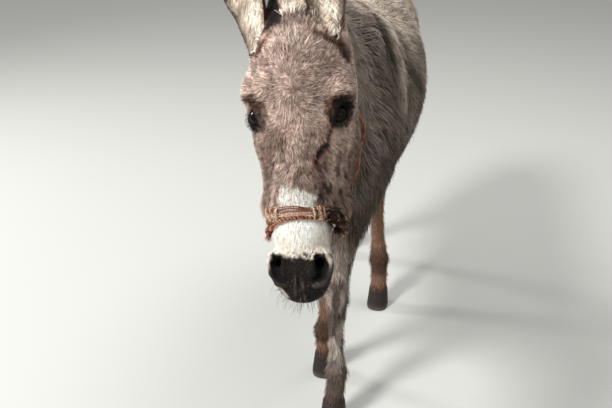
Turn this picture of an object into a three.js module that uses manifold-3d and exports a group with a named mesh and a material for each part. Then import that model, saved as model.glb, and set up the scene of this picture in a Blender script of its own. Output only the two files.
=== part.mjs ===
import * as THREE from 'three';
import Module from 'manifold-3d';

const wasm = await Module();
wasm.setup();

// A standing donkey in a knotted twine halter. Sizes are in mm, out to the tips of the coat.
// It faces -Y, its own left is +X and it stands on z = 0.
const gap = 0.4;
const belowBody = 500;
const kneeHeight = 330;
const hockHeight = 415;
const coronetHeight = 58;

// Trunk: y along the back, top line, belly line, half width
const trunk = [
  [-125, 985, 690, 100],
  [-60, 1070, 620, 138],
  [60, 1098, 574, 166],
  [200, 1072, 548, 194],
  [350, 1052, 540, 212],
  [480, 1050, 552, 207],
  [600, 1062, 588, 178],
  [700, 1058, 636, 149],
  [790, 1026, 692, 124],
  [845, 985, 740, 114],
];
const trunkEnd = 52;

// Neck: centre x, y, z, half depth, and its width as a share of its depth
const neck = [
  [0, 40, 868, 205, 0.62],
  [0, -130, 930, 180, 0.6],
  [10, -290, 1006, 143, 0.6],
  [24, -420, 1068, 108, 0.68],
  [30, -500, 1100, 84, 0.8],
];

// Head: where the poll is, which way the face runs and which way it looks
const poll = new THREE.Vector3(15, -535, 1177);
const faceDown = new THREE.Vector3(0.1, -0.407, -0.907).normalize();
const faceOut = new THREE.Vector3(-0.04, -0.905, 0.42);
faceOut.addScaledVector(faceDown, -faceOut.dot(faceDown)).normalize();
const faceLeft = new THREE.Vector3().crossVectors(faceOut, faceDown).normalize();

const eyeRadius = 19;
// place of each eyeball's middle in the head: across, back from the face, down the face
const eyeSeat = [67, 37, 159];
const earLength = 238;
// each ear: its side, its foot's place across the head, how far it leans out, how far it turns out
const ears = {
  ear_left: [1, 50, -0.1, 0.4],
  ear_right: [-1, 75, 0.34, 0.45],
};
// Ear: share of its length, half width, depth of the cup, thickness, how far the cup is open
const earStations = [
  [0, 31, 28, 8, 0],
  [0.1, 37, 30, 9, 0.6],
  [0.2, 43, 29, 9, 1],
  [0.38, 49, 26, 8, 1],
  [0.6, 45, 21, 7, 1],
  [0.8, 31, 14, 5, 1],
  [0.93, 13, 8, 4, 1],
  [1, 3.5, 4, 3, 1],
];
const nosebandDown = 327;
const strandApart = 18;
const cordRadius = 3.6;

// Small helpers

// A point of the head from its own axes: across to the left, back from the face, down the face
function onHead(across, back, down) {
  return new THREE.Vector3()
    .copy(poll)
    .addScaledVector(faceLeft, across)
    .addScaledVector(faceOut, -back)
    .addScaledVector(faceDown, down);
}

// Smooth union of two distances with a fillet about `round` wide
function blend(a, b, round) {
  const h = Math.max(round - Math.abs(a - b), 0) / round;
  return Math.min(a, b) - h * h * round * 0.25;
}

function carve(a, b, round) {
  return -blend(-a, b, round);
}

function mix(a, b, t) {
  return a + (b - a) * t;
}

// Row of a table of stations at `at`, eased between rows so that no crease shows
function station(rows, at) {
  const last = rows.length - 1;
  if (at <= rows[0][0]) {
    return rows[0];
  }
  if (at >= rows[last][0]) {
    return rows[last];
  }
  let i = 0;
  while (at > rows[i + 1][0]) {
    i += 1;
  }
  const t = (at - rows[i][0]) / (rows[i + 1][0] - rows[i][0]);
  const before = rows[Math.max(i - 1, 0)];
  const after = rows[Math.min(i + 2, last)];
  return rows[i].map((v, k) => {
    const m0 = (rows[i + 1][k] - before[k]) * 0.5;
    const m1 = (after[k] - v) * 0.5;
    const a = 2 * t ** 3 - 3 * t ** 2 + 1;
    const b = t ** 3 - 2 * t ** 2 + t;
    const c = -2 * t ** 3 + 3 * t ** 2;
    const d = t ** 3 - t ** 2;
    return a * v + b * m0 + c * rows[i + 1][k] + d * m1;
  });
}

// Distance to an egg: centre, three half sizes along the axes x, y, z given as vectors
function egg(p, centre, half, axes) {
  const x = p[0] - centre[0];
  const y = p[1] - centre[1];
  const z = p[2] - centre[2];
  let a = x;
  let b = y;
  let c = z;
  if (axes) {
    a = x * axes[0].x + y * axes[0].y + z * axes[0].z;
    b = x * axes[1].x + y * axes[1].y + z * axes[1].z;
    c = x * axes[2].x + y * axes[2].y + z * axes[2].z;
  }
  const near = Math.hypot(a / half[0], b / half[1], c / half[2]);
  const far = Math.hypot(a / half[0] ** 2, b / half[1] ** 2, c / half[2] ** 2);
  return near * (near - 1) / Math.max(far, 1e-6);
}

// Distance to a tapering limb between two stations [x, y, z, radius, width share]
function limb(p, from, to, side) {
  const ab = [to[0] - from[0], to[1] - from[1], to[2] - from[2]];
  const ap = [p[0] - from[0], p[1] - from[1], p[2] - from[2]];
  const along = (ap[0] * ab[0] + ap[1] * ab[1] + ap[2] * ab[2]) / (ab[0] ** 2 + ab[1] ** 2 + ab[2] ** 2);
  const t = Math.min(Math.max(along, 0), 1);
  const r = mix(from[3], to[3], t);
  const flat = mix(from[4], to[4], t);
  const v = [ap[0] - ab[0] * t, ap[1] - ab[1] * t, ap[2] - ab[2] * t];
  const s = side ? v[0] * side.x + v[1] * side.y + v[2] * side.z : v[0];
  const rest = v[0] ** 2 + v[1] ** 2 + v[2] ** 2 - s * s;
  return (Math.sqrt(Math.max(rest, 0) + (s / flat) ** 2) - r) * Math.min(flat, 1);
}

function chain(p, rows, round, side) {
  let d = limb(p, rows[0], rows[1], side);
  for (let i = 1; i < rows.length - 1; i += 1) {
    d = blend(d, limb(p, rows[i], rows[i + 1], side), round);
  }
  return d;
}

// The body as one rounded form

function trunkForm(p) {
  const s = station(trunk, p[1]);
  const middle = (s[1] + s[2]) / 2;
  const tall = (s[1] - s[2]) / 2;
  const past = p[1] - Math.min(Math.max(p[1], trunk[0][0]), trunk[trunk.length - 1][0]);
  const across = Math.abs(p[0]) / s[3];
  const up = Math.abs(p[2] - middle) / tall;
  const q = Math.hypot(across, up, past / trunkEnd);
  return (q - 1) * Math.min(tall, s[3]) * 0.9;
}

// The mane stands as a low ridge along the crest
function neckForm(p) {
  const ridge = chain(p, [
    [14, -500, 1164, 36, 0.85],
    [8, -330, 1140, 40, 0.85],
    [0, -150, 1106, 38, 0.85],
    [0, 40, 1076, 28, 0.85],
  ], 20);
  return blend(chain(p, neck, 40), ridge, 26);
}

// The tail hangs clear behind the buttocks and ends in a brush
const tail = [
  [0, 860, 970, 32, 1],
  [0, 920, 940, 26, 1],
  [2, 938, 880, 22, 1],
  [4, 942, 760, 18, 1],
  [6, 944, 640, 25, 1],
  [8, 944, 540, 31, 1],
  [8, 942, 450, 18, 1],
];

function tailForm(p) {
  return chain(p, tail, 14);
}

// Legs: stations down the leg, x is outward for either side
const foreLeg = [
  [98, 16, 780, 90, 0.62],
  [78, 22, 640, 78, 0.68],
  [52, 6, 540, 58, 0.82],
  [34, -10, 450, 42, 0.86],
  [28, -26, 370, 35, 0.94],
  [28, -32, 332, 37.5, 0.94],
  [29, -38, 290, 29, 0.94],
  [32, -54, 215, 23.5, 0.96],
  [36, -70, 162, 25, 1],
  [39, -82, 134, 31.5, 1],
  [38, -98, 92, 27.5, 1],
  [36, -108, 62, 31, 1],
];
const hindLeg = [
  [78, 690, 860, 134, 0.58],
  [93, 640, 720, 118, 0.6],
  [92, 630, 600, 80, 0.64],
  [76, 645, 500, 53, 0.76],
  [64, 655, 445, 41, 0.8],
  [60, 645, 405, 42, 0.74],
  [62, 624, 345, 31, 0.88],
  [70, 585, 250, 26, 0.96],
  [79, 560, 178, 28, 1],
  [84, 545, 146, 34.5, 1],
  [88, 522, 96, 28.5, 1],
  [89, 505, 62, 31.5, 1],
];

// A leg shifted from its pattern: the shift grows from none at the top to all at the foot
function posed(rows, sign, footX, footY, highest) {
  const end = rows[rows.length - 1];
  return rows.map((row) => {
    const share = Math.min(Math.max((highest - row[2]) / (highest - end[2]), 0), 1);
    const x = row[0] + (footX - end[0]) * share;
    const y = row[1] + (footY - end[1]) * share;
    return [sign * x, y, row[2], row[3], row[4]];
  });
}

const legs = {
  fore_left: posed(foreLeg, 1, 36, -108, 700),
  fore_right: posed(foreLeg, -1, 24, 112, 700),
  hind_left: posed(hindLeg, 1, 89, 505, 700),
  hind_right: posed(hindLeg, -1, 92, 830, 760),
};
// a hind leg that is set back straightens at the hock
legs.hind_right[3][1] -= 16;
legs.hind_right[4][1] -= 26;
legs.hind_right[5][1] -= 20;

function legForm(p, name) {
  return chain(p, legs[name], 10);
}

function shoulders(p) {
  const x = Math.abs(p[0]);
  return Math.min(
    egg([x, p[1], p[2]], [98, 0, 850], [70, 125, 210]),
    egg([x, p[1], p[2]], [64, -118, 770], [62, 62, 84]),
  );
}

function haunches(p) {
  const x = Math.abs(p[0]);
  return egg([x, p[1], p[2]], [74, 745, 820], [68, 126, 180]);
}

function bodyForm(p) {
  let d = blend(trunkForm(p), neckForm(p), 70);
  d = blend(d, shoulders(p), 60);
  d = blend(d, haunches(p), 50);
  for (const name of Object.keys(legs)) {
    d = blend(d, legForm(p, name), 45);
  }
  return blend(d, tailForm(p), 24);
}

// The head in its own axes

function headShape(q) {
  const w = [Math.abs(q[0]), q[1], q[2]];
  // brain case and forehead, broad to the brows
  let d = egg(w, [0, 74, 84], [90, 69, 92]);
  // face: each station's width share is against its depth
  d = blend(d, chain(w, [
    [0, 66, 110, 66, 1.3],
    [0, 66, 190, 63, 1.12],
    [0, 62, 280, 56, 0.96],
    [0, 54, 350, 49, 0.98],
    [0, 52, 415, 45, 1.12],
  ], 20), 30);
  // brow, cheek and jaw
  d = blend(d, egg(w, [76, 40, 118], [27, 36, 40]), 24);
  d = blend(d, egg(w, [51, 112, 166], [45, 72, 92]), 34);
  d = blend(d, limb(w, [62, 58, 178, 20, 1], [48, 56, 275, 16, 1]), 26);
  d = blend(d, limb(w, [47, 132, 210, 45, 0.92], [41, 92, 306, 41, 0.96]), 30);
  d = blend(d, limb(w, [30, 98, 300, 32, 0.9], [12, 96, 372, 21, 1]), 24);
  // muzzle: nostril wings, upper lip, lower lip and chin
  d = blend(d, egg(w, [35, 32, 418], [20, 24, 32]), 16);
  d = blend(d, egg(w, [0, 48, 450], [43, 32, 33]), 18);
  d = blend(d, egg(w, [0, 86, 436], [33, 28, 42]), 16);
  // roots of the ears
  d = blend(d, limb(q, [46, 66, 58, 36, 1], [53, 66, -20, 27, 1]), 18);
  d = blend(d, limb(q, [-52, 66, 58, 36, 1], [-75, 66, -12, 27, 1]), 18);
  // muscle that fills the space between the leaning ear and the crest
  d = blend(d, limb(q, [-30, 76, 20, 34, 1], [-43, 82, -46, 21, 1]), 18);
  // nostrils, and the hollows over the eyes
  d = carve(d, egg(w, [43, 8, 420], [9, 14, 17]), 8);
  d = carve(d, egg(w, [64, -4, 80], [20, 12, 24]), 20);
  // the eye sits in a shallow hollow under the brow
  d = carve(d, egg(w, [94, 6, 162], [22, 18, 22]), 14);
  return d;
}

function headForm(p) {
  const x = p[0] - poll.x;
  const y = p[1] - poll.y;
  const z = p[2] - poll.z;
  return headShape([
    x * faceLeft.x + y * faceLeft.y + z * faceLeft.z,
    -(x * faceOut.x + y * faceOut.y + z * faceOut.z),
    x * faceDown.x + y * faceDown.y + z * faceDown.z,
  ]);
}

// Turning a form into a closed mesh

// Dual mesh of a form on a box grid: one vertex in each cell the surface passes, then the
// vertices are drawn onto the surface along its slope.
function meshOf(form, lowest, high, cell) {
  for (let attempt = 0; attempt < 30; attempt += 1) {
    const low = lowest.map((v, k) => v - ((attempt * (5 + 2 * k)) % 11) / 11 * cell[k]);
    const made = gridMesh(form, low, high, cell);
    if (everyEdgeShared(made.faces)) {
      return made;
    }
  }
  throw new Error(`no closed mesh at ${lowest}`);
}

// Whether each edge is shared by just two faces
function everyEdgeShared(faces) {
  const seen = new Map();
  for (let i = 0; i < faces.length; i += 3) {
    for (let k = 0; k < 3; k += 1) {
      const key = faces[i + k] * 1e6 + faces[i + (k + 1) % 3];
      if (seen.has(key)) {
        return false;
      }
      seen.set(key, true);
    }
  }
  for (const key of seen.keys()) {
    if (!seen.has((key % 1e6) * 1e6 + Math.floor(key / 1e6))) {
      return false;
    }
  }
  return true;
}

function gridMesh(form, low, high, cell) {
  const n = [0, 1, 2].map((k) => Math.ceil((high[k] - low[k]) / cell[k]) + 1);
  const at = (i, j, k) => i + n[0] * (j + n[1] * k);
  const value = new Float64Array(n[0] * n[1] * n[2]);
  for (let k = 0; k < n[2]; k += 1) {
    for (let j = 0; j < n[1]; j += 1) {
      for (let i = 0; i < n[0]; i += 1) {
        const p = [low[0] + i * cell[0], low[1] + j * cell[1], low[2] + k * cell[2]];
        value[at(i, j, k)] = form(p);
      }
    }
  }
  const points = [];
  const cellPoint = new Int32Array(value.length).fill(-1);
  const corners = [];
  for (let c = 0; c < 8; c += 1) {
    corners.push([c & 1, (c >> 1) & 1, (c >> 2) & 1]);
  }
  for (let k = 0; k < n[2] - 1; k += 1) {
    for (let j = 0; j < n[1] - 1; j += 1) {
      for (let i = 0; i < n[0] - 1; i += 1) {
        const v = corners.map((c) => value[at(i + c[0], j + c[1], k + c[2])]);
        const sum = [0, 0, 0];
        let hits = 0;
        for (let a = 0; a < 8; a += 1) {
          for (const bit of [1, 2, 4]) {
            const b = a | bit;
            if (b !== a && (v[a] < 0) !== (v[b] < 0)) {
              const t = v[a] / (v[a] - v[b]);
              for (let m = 0; m < 3; m += 1) {
                sum[m] += mix(corners[a][m], corners[b][m], t);
              }
              hits += 1;
            }
          }
        }
        if (hits > 0) {
          cellPoint[at(i, j, k)] = points.length;
          points.push([
            low[0] + (i + sum[0] / hits) * cell[0],
            low[1] + (j + sum[1] / hits) * cell[1],
            low[2] + (k + sum[2] / hits) * cell[2],
          ]);
        }
      }
    }
  }
  const faces = [];
  const step = [[1, 0, 0], [0, 1, 0], [0, 0, 1]];
  for (let k = 0; k < n[2] - 1; k += 1) {
    for (let j = 0; j < n[1] - 1; j += 1) {
      for (let i = 0; i < n[0] - 1; i += 1) {
        const here = value[at(i, j, k)] < 0;
        for (let m = 0; m < 3; m += 1) {
          const s = step[m];
          const there = value[at(i + s[0], j + s[1], k + s[2])] < 0;
          const u = step[(m + 1) % 3];
          const w = step[(m + 2) % 3];
          if (here === there || [i, j, k][(m + 1) % 3] === 0 || [i, j, k][(m + 2) % 3] === 0) {
            continue;
          }
          const quad = [
            cellPoint[at(i, j, k)],
            cellPoint[at(i - u[0], j - u[1], k - u[2])],
            cellPoint[at(i - u[0] - w[0], j - u[1] - w[1], k - u[2] - w[2])],
            cellPoint[at(i - w[0], j - w[1], k - w[2])],
          ];
          if (!here) {
            quad.reverse();
          }
          const span = (a, b) => Math.hypot(
            points[a][0] - points[b][0],
            points[a][1] - points[b][1],
            points[a][2] - points[b][2],
          );
          if (span(quad[0], quad[2]) < span(quad[1], quad[3])) {
            faces.push(quad[0], quad[1], quad[2], quad[0], quad[2], quad[3]);
          } else {
            faces.push(quad[1], quad[2], quad[3], quad[1], quad[3], quad[0]);
          }
        }
      }
    }
  }
  const reach = Math.min(...cell) * 0.45;
  for (const p of points) {
    const start = [...p];
    for (let turn = 0; turn < 4; turn += 1) {
      const d = form(p);
      const g = [0, 1, 2].map((m) => {
        const e = [...p];
        e[m] += 0.5;
        return (form(e) - d) * 2;
      });
      const size = Math.max(g[0] ** 2 + g[1] ** 2 + g[2] ** 2, 0.05);
      for (let m = 0; m < 3; m += 1) {
        const move = p[m] - d * g[m] / size - start[m];
        p[m] = start[m] + Math.min(Math.max(move, -reach), reach);
      }
    }
  }
  return { points, faces };
}

function solid(mesh) {
  return new wasm.Manifold(new wasm.Mesh({
    numProp: 3,
    vertProperties: new Float32Array(mesh.points.flat()),
    triVerts: new Uint32Array(mesh.faces),
  }));
}

function solidOf(geometry) {
  const place = geometry.getAttribute('position');
  const key = new Map();
  const points = [];
  const index = [];
  for (let i = 0; i < place.count; i += 1) {
    const p = [place.getX(i), place.getY(i), place.getZ(i)];
    const name = p.map((v) => Math.round(v * 1e4)).join();
    if (!key.has(name)) {
      key.set(name, points.length);
      points.push(p);
    }
    index.push(key.get(name));
  }
  const order = geometry.index ? Array.from(geometry.index.array) : index.map((v, i) => i);
  const faces = [];
  for (let i = 0; i < order.length; i += 3) {
    const a = index[order[i]];
    const b = index[order[i + 1]];
    const c = index[order[i + 2]];
    if (a !== b && b !== c && a !== c) {
      faces.push(a, b, c);
    }
  }
  return solid({ points, faces });
}

// A big block whose near face passes through `point`, its bulk lying along `away`
function halfSpace(point, away) {
  const size = 3000;
  const block = new THREE.BoxGeometry(size, size, size);
  const turn = new THREE.Quaternion().setFromUnitVectors(new THREE.Vector3(0, 0, 1), away);
  const middle = new THREE.Vector3().copy(point).addScaledVector(away, size / 2);
  block.applyMatrix4(new THREE.Matrix4().compose(middle, turn, new THREE.Vector3(1, 1, 1)));
  return solidOf(block);
}

function geometryOf(shape) {
  const mesh = shape.getMesh();
  const geometry = new THREE.BufferGeometry();
  const points = [];
  for (let i = 0; i < mesh.vertProperties.length; i += mesh.numProp) {
    points.push(mesh.vertProperties[i], mesh.vertProperties[i + 1], mesh.vertProperties[i + 2]);
  }
  geometry.setAttribute('position', new THREE.Float32BufferAttribute(points, 3));
  geometry.setIndex(Array.from(mesh.triVerts));
  geometry.computeVertexNormals();
  return geometry;
}

// Closed body through rings of points, each ring [Vector3, ...] of the same length
function loft(rings) {
  const n = rings[0].length;
  const points = rings.flat().map((v) => [v.x, v.y, v.z]);
  const faces = [];
  for (let r = 0; r < rings.length - 1; r += 1) {
    for (let i = 0; i < n; i += 1) {
      const a = r * n + i;
      const b = r * n + (i + 1) % n;
      faces.push(a, b, b + n, a, b + n, a + n);
    }
  }
  for (const [ring, flip] of [[0, true], [rings.length - 1, false]]) {
    const middle = new THREE.Vector3();
    rings[ring].forEach((v) => middle.add(v));
    middle.divideScalar(n);
    const centre = points.length;
    points.push([middle.x, middle.y, middle.z]);
    for (let i = 0; i < n; i += 1) {
      const a = ring * n + i;
      const b = ring * n + (i + 1) % n;
      faces.push(...(flip ? [centre, b, a] : [centre, a, b]));
    }
  }
  return solid({ points, faces });
}

const group = new THREE.Group();

function add(name, shape, color, roughness) {
  const material = new THREE.MeshStandardMaterial({ color, roughness, metalness: 0 });
  const mesh = new THREE.Mesh(geometryOf(shape), material);
  mesh.name = name;
  group.add(mesh);
}

const coatColour = 0x8a7d76;
const faceColour = 0xa08f87;
const legColour = 0x75645c;
const hoofColour = 0x2f2a28;

// Trunk, neck and head, parted by thin cuts

const neckBase = new THREE.Vector3(0, -95, 900);
const neckUp = new THREE.Vector3(0, -0.87, 0.49).normalize();
const throat = new THREE.Vector3(30, -392, 1075);
const throatUp = new THREE.Vector3(0.03, -0.979, -0.204).normalize();
const half = gap / 2;

function shifted(point, along, by) {
  return new THREE.Vector3().copy(point).addScaledVector(along, by);
}

function behind(p, point, along) {
  return (p[0] - point.x) * along.x + (p[1] - point.y) * along.y + (p[2] - point.z) * along.z;
}

const floorCut = new THREE.Vector3(0, 0, belowBody);
const up = new THREE.Vector3(0, 0, 1);
const downward = new THREE.Vector3(0, 0, -1);

// Kept to one side of each cut with some to spare, which the cut then takes off
const within = (a, b) => -blend(-a, -b, 30);
const dock = new THREE.Vector3(0, 902, 960);
const rearward = new THREE.Vector3(0, 1, 0);
const trunkMesh = meshOf(
  (p) => within(
    within(within(bodyForm(p), behind(p, neckBase, neckUp) - 45), belowBody - 45 - p[2]),
    p[1] - dock.y - 40,
  ),
  [-330, -330, 400],
  [330, 1010, 1250],
  [56, 56, 56],
);
add(
  'trunk',
  solid(trunkMesh)
    .subtract(halfSpace(shifted(neckBase, neckUp, -half), neckUp))
    .subtract(halfSpace(shifted(floorCut, up, half), downward))
    .subtract(halfSpace(shifted(dock, rearward, -half), rearward)),
  coatColour,
  0.95,
);
const tailAlone = (p) => within(blend(bodyForm(p), tailForm(p), 24), dock.y - 45 - p[1]);
add(
  'tail',
  solid(meshOf(tailAlone, [-130, 820, 400], [130, 1010, 1060], [24, 24, 48]))
    .subtract(halfSpace(shifted(dock, rearward, half), rearward.clone().negate())),
  coatColour,
  0.95,
);

const neckUpTo = (p) => within(
  within(blend(bodyForm(p), headForm(p), 40), -45 - behind(p, neckBase, neckUp)),
  behind(p, throat, throatUp) - 40,
);
let neckSolid = (
  solid(meshOf(neckUpTo, [-220, -600, 620], [220, 150, 1300], [39, 39, 39]))
    .subtract(halfSpace(shifted(neckBase, neckUp, half), neckUp.clone().negate()))
    .subtract(halfSpace(shifted(throat, throatUp, -half), throatUp))
);

const headWhole = (p) => within(
  blend(bodyForm(p), headForm(p), 40),
  -40 - behind(p, throat, throatUp),
);
let head = solid(meshOf(headWhole, [-150, -810, 630], [200, -250, 1270], [21.5, 21.5, 21.5]))
  .subtract(halfSpace(shifted(throat, throatUp, half), throatUp.clone().negate()));

// Ears, each a cupped leaf on a flat seat on the head, closed at its foot and open above
function ear(sign, across, lean, turn) {
  const foot = onHead(sign * across, 64, -10);
  const along = new THREE.Vector3()
    .addScaledVector(faceDown, -1)
    .addScaledVector(faceLeft, sign * lean)
    .addScaledVector(faceOut, 0.1)
    .normalize();
  const opening = new THREE.Vector3()
    .addScaledVector(faceOut, Math.cos(turn))
    .addScaledVector(faceLeft, sign * Math.sin(turn));
  opening.addScaledVector(along, -opening.dot(along)).normalize();
  const side = new THREE.Vector3().crossVectors(along, opening).normalize();
  const rings = [];
  const room = [];
  const steps = 10;
  const around = 6;
  for (let i = 0; i <= steps; i += 1) {
    const t = i / steps;
    const [, wide, cup, thick, open] = station(earStations, t);
    const ring = [];
    for (let j = 0; j <= around; j += 1) {
      const a = Math.PI * j / around;
      ring.push([Math.cos(a) * wide, -Math.sin(a) * cup]);
    }
    for (let j = around - 1; j >= 1; j -= 1) {
      const a = Math.PI * j / around;
      ring.push([Math.cos(a) * (wide - thick * open), mix(wide * 0.9, thick - cup, open) * Math.sin(a)]);
    }
    const centre = shifted(foot, along, half + t * earLength);
    centre.addScaledVector(opening, cup * 0.4 * open);
    const placed = ([u, v]) => new THREE.Vector3()
      .copy(centre)
      .addScaledVector(side, u)
      .addScaledVector(opening, v);
    rings.push(ring.map(placed));
    if (t < 0.45) {
      const spare = mix(4, 1.5, Math.min(t / 0.2, 1));
      const hollow = [];
      for (let j = 0; j < ring.length; j += 1) {
        const a = 2 * Math.PI * j / ring.length;
        hollow.push(placed([Math.cos(a) * (wide + spare), -Math.sin(a) * (cup + spare)]));
      }
      room.push(hollow);
    }
  }
  // the head gives way to the ear from half a gap below its seat
  room[0] = room[0].map((v) => shifted(v, along, -gap));
  return { shape: loft(rings), room: loft(room) };
}

for (const [name, values] of Object.entries(ears)) {
  const made = ear(...values);
  head = head.subtract(made.room);
  neckSolid = neckSolid.subtract(made.room);
  add(name, made.shape, faceColour, 0.9);
}

// A point of the head's own axes drawn along the slope until it stands `clear` off the coat
function besideHead(seed, clear) {
  const form = (q) => {
    const p = onHead(q[0], q[1], q[2]);
    return blend(bodyForm([p.x, p.y, p.z]), headShape(q), 40) - clear;
  };
  const q = [...seed];
  for (let turn = 0; turn < 12; turn += 1) {
    const d = form(q);
    const g = [0, 1, 2].map((m) => {
      const e = [...q];
      e[m] += 0.5;
      return (form(e) - d) * 2;
    });
    const size = Math.max(g[0] ** 2 + g[1] ** 2 + g[2] ** 2, 0.1);
    for (let m = 0; m < 3; m += 1) {
      q[m] -= d * g[m] / size;
    }
  }
  return onHead(q[0], q[1], q[2]);
}

// Eyes: dark balls sunk in sockets of their own
for (const [name, sign] of [['eye_left', 1], ['eye_right', -1]]) {
  const seat = onHead(sign * eyeSeat[0], eyeSeat[1], eyeSeat[2]);
  const socket = new THREE.SphereGeometry(eyeRadius + gap, 10, 7).translate(seat.x, seat.y, seat.z);
  const ball = new THREE.SphereGeometry(eyeRadius, 10, 7).translate(seat.x, seat.y, seat.z);
  head = head.subtract(solidOf(socket));
  add(name, solidOf(ball), 0x1a110c, 0.1);
}
add('head', head, faceColour, 0.9);
add('neck', neckSolid, coatColour, 0.95);

// The halter, of twisted twine

// A cord of six sides along points, closed on itself or with two ends
function cord(points, radius, closed) {
  const count = points.length;
  const rings = points.map((p, i) => {
    const before = points[closed ? (i + count - 1) % count : Math.max(i - 1, 0)];
    const after = points[closed ? (i + 1) % count : Math.min(i + 1, count - 1)];
    const along = new THREE.Vector3().subVectors(after, before).normalize();
    const out = new THREE.Vector3().subVectors(p, onHead(0, 90, 150));
    out.addScaledVector(along, -out.dot(along)).normalize();
    const aside = new THREE.Vector3().crossVectors(along, out);
    const ring = [];
    for (let k = 0; k < 6; k += 1) {
      const a = k / 6 * Math.PI * 2;
      ring.push(shifted(shifted(p, out, Math.cos(a) * radius), aside, Math.sin(a) * radius));
    }
    return ring;
  });
  if (!closed) {
    return loft(rings);
  }
  const faces = [];
  for (let r = 0; r < count; r += 1) {
    for (let k = 0; k < 6; k += 1) {
      const a = r * 6 + k;
      const b = r * 6 + (k + 1) % 6;
      const c = (r + 1) % count * 6 + (k + 1) % 6;
      const d = (r + 1) % count * 6 + k;
      faces.push(a, b, c, a, c, d);
    }
  }
  return solid({ points: rings.flat().map((v) => [v.x, v.y, v.z]), faces });
}

const cordColour = 0xa9744f;
const clear = cordRadius + 2.8;
for (const [name, down] of [
  ['halter_noseband_upper', nosebandDown - strandApart / 2],
  ['halter_noseband_lower', nosebandDown + strandApart / 2],
]) {
  const points = [];
  const count = 16;
  for (let i = 0; i < count; i += 1) {
    const a = i / count * Math.PI * 2;
    const back = 64 - 62 * Math.cos(a);
    points.push(besideHead([66 * Math.sin(a), back, down + back * 0.12], clear));
  }
  add(name, cord(points, cordRadius, true), cordColour, 0.9);
}
// Cheek cords run from the noseband up the cheeks and meet over the crest behind the ears
const cheekRun = [
  [70, 106, 314],
  [74, 112, 290],
  [82, 124, 250],
  [92, 136, 205],
  [94, 142, 150],
  [90, 142, 95],
  [80, 136, 50],
  [64, 122, 12],
  [52, 116, -6],
  [38, 108, -24],
];
for (const [name, sign] of [['halter_cheek_left', 1], ['halter_cheek_right', -1]]) {
  const points = cheekRun.map(([across, back, down]) => (
    besideHead([sign * across, back, down], down < 120 ? clear + 1.5 : clear)
  ));
  points.push(besideHead([sign * 20, 100, -40], clear + 3));
  points.push(besideHead([sign * 4, 94, -48], clear + 3));
  add(name, cord(points, cordRadius, false), cordColour, 0.9);
}
// The knots where the noseband's strands are tied together at each side
for (const [name, sign] of [['halter_knot_left', 1], ['halter_knot_right', -1]]) {
  const at = besideHead([sign * 62, 58, nosebandDown + 29], 10.5);
  const knot = new THREE.SphereGeometry(9, 8, 6).scale(1, 0.9, 1.15).translate(at.x, at.y, at.z);
  add(name, solidOf(knot), cordColour, 0.9);
}

// Legs and hooves

for (const name of Object.keys(legs)) {
  const rows = legs[name];
  const foot = rows[rows.length - 1];
  const bend = name.startsWith('fore') ? kneeHeight : hockHeight;
  const form = (p) => within(
    within(blend(legForm(p, name), trunkForm(p), 45), p[2] - belowBody - 40),
    coronetHeight - 36 - p[2],
  );
  const xs = rows.slice(2).map((r) => r[0]);
  const ys = rows.slice(2).map((r) => r[1]);
  const whole = solid(meshOf(
    form,
    [Math.min(...xs) - 92, Math.min(...ys) - 92, coronetHeight - 60],
    [Math.max(...xs) + 92, Math.max(...ys) + 92, belowBody + 70],
    [18, 18, 44],
  ));
  const top = new THREE.Vector3(0, 0, belowBody);
  const joint = new THREE.Vector3(0, 0, bend);
  const bottom = new THREE.Vector3(0, 0, coronetHeight);
  const trimmed = whole.subtract(halfSpace(shifted(top, up, -half), up));
  add(`leg_${name}_upper`, trimmed.subtract(halfSpace(shifted(joint, up, half), downward)), legColour, 0.95);
  add(
    `leg_${name}_lower`,
    trimmed
      .subtract(halfSpace(shifted(joint, up, -half), up))
      .subtract(halfSpace(shifted(bottom, up, half), downward)),
    legColour,
    0.95,
  );
  // hoof: a narrow upright box of horn, longer at the toe, flat on the floor
  const rings = [];
  for (const [h, wide, long, ahead] of [
    [0, 34, 42, -9],
    [5, 35, 43, -9],
    [30, 33, 39, -4],
    [coronetHeight - half, 30.5, 33, 1],
  ]) {
    const ring = [];
    for (let i = 0; i < 14; i += 1) {
      const a = i / 14 * Math.PI * 2;
      const c = Math.cos(a);
      const s = Math.sin(a);
      const square = Math.pow(Math.abs(c) ** 2.4 + Math.abs(s) ** 2.4, -1 / 2.4);
      ring.push(new THREE.Vector3(foot[0] + c * square * wide, foot[1] + ahead + s * square * long, h));
    }
    rings.push(ring);
  }
  add(`hoof_${name}`, loft(rings), hoofColour, 0.5);
}

// The origin is the middle of the whole outline on the floor
const bounds = new THREE.Box3().setFromObject(group);
for (const mesh of group.children) {
  mesh.geometry.translate(-(bounds.min.x + bounds.max.x) / 2, -(bounds.min.y + bounds.max.y) / 2, -bounds.min.z);
}

export default group;
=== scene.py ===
import bpy
import numpy as np
from mathutils import Matrix, Vector


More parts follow.
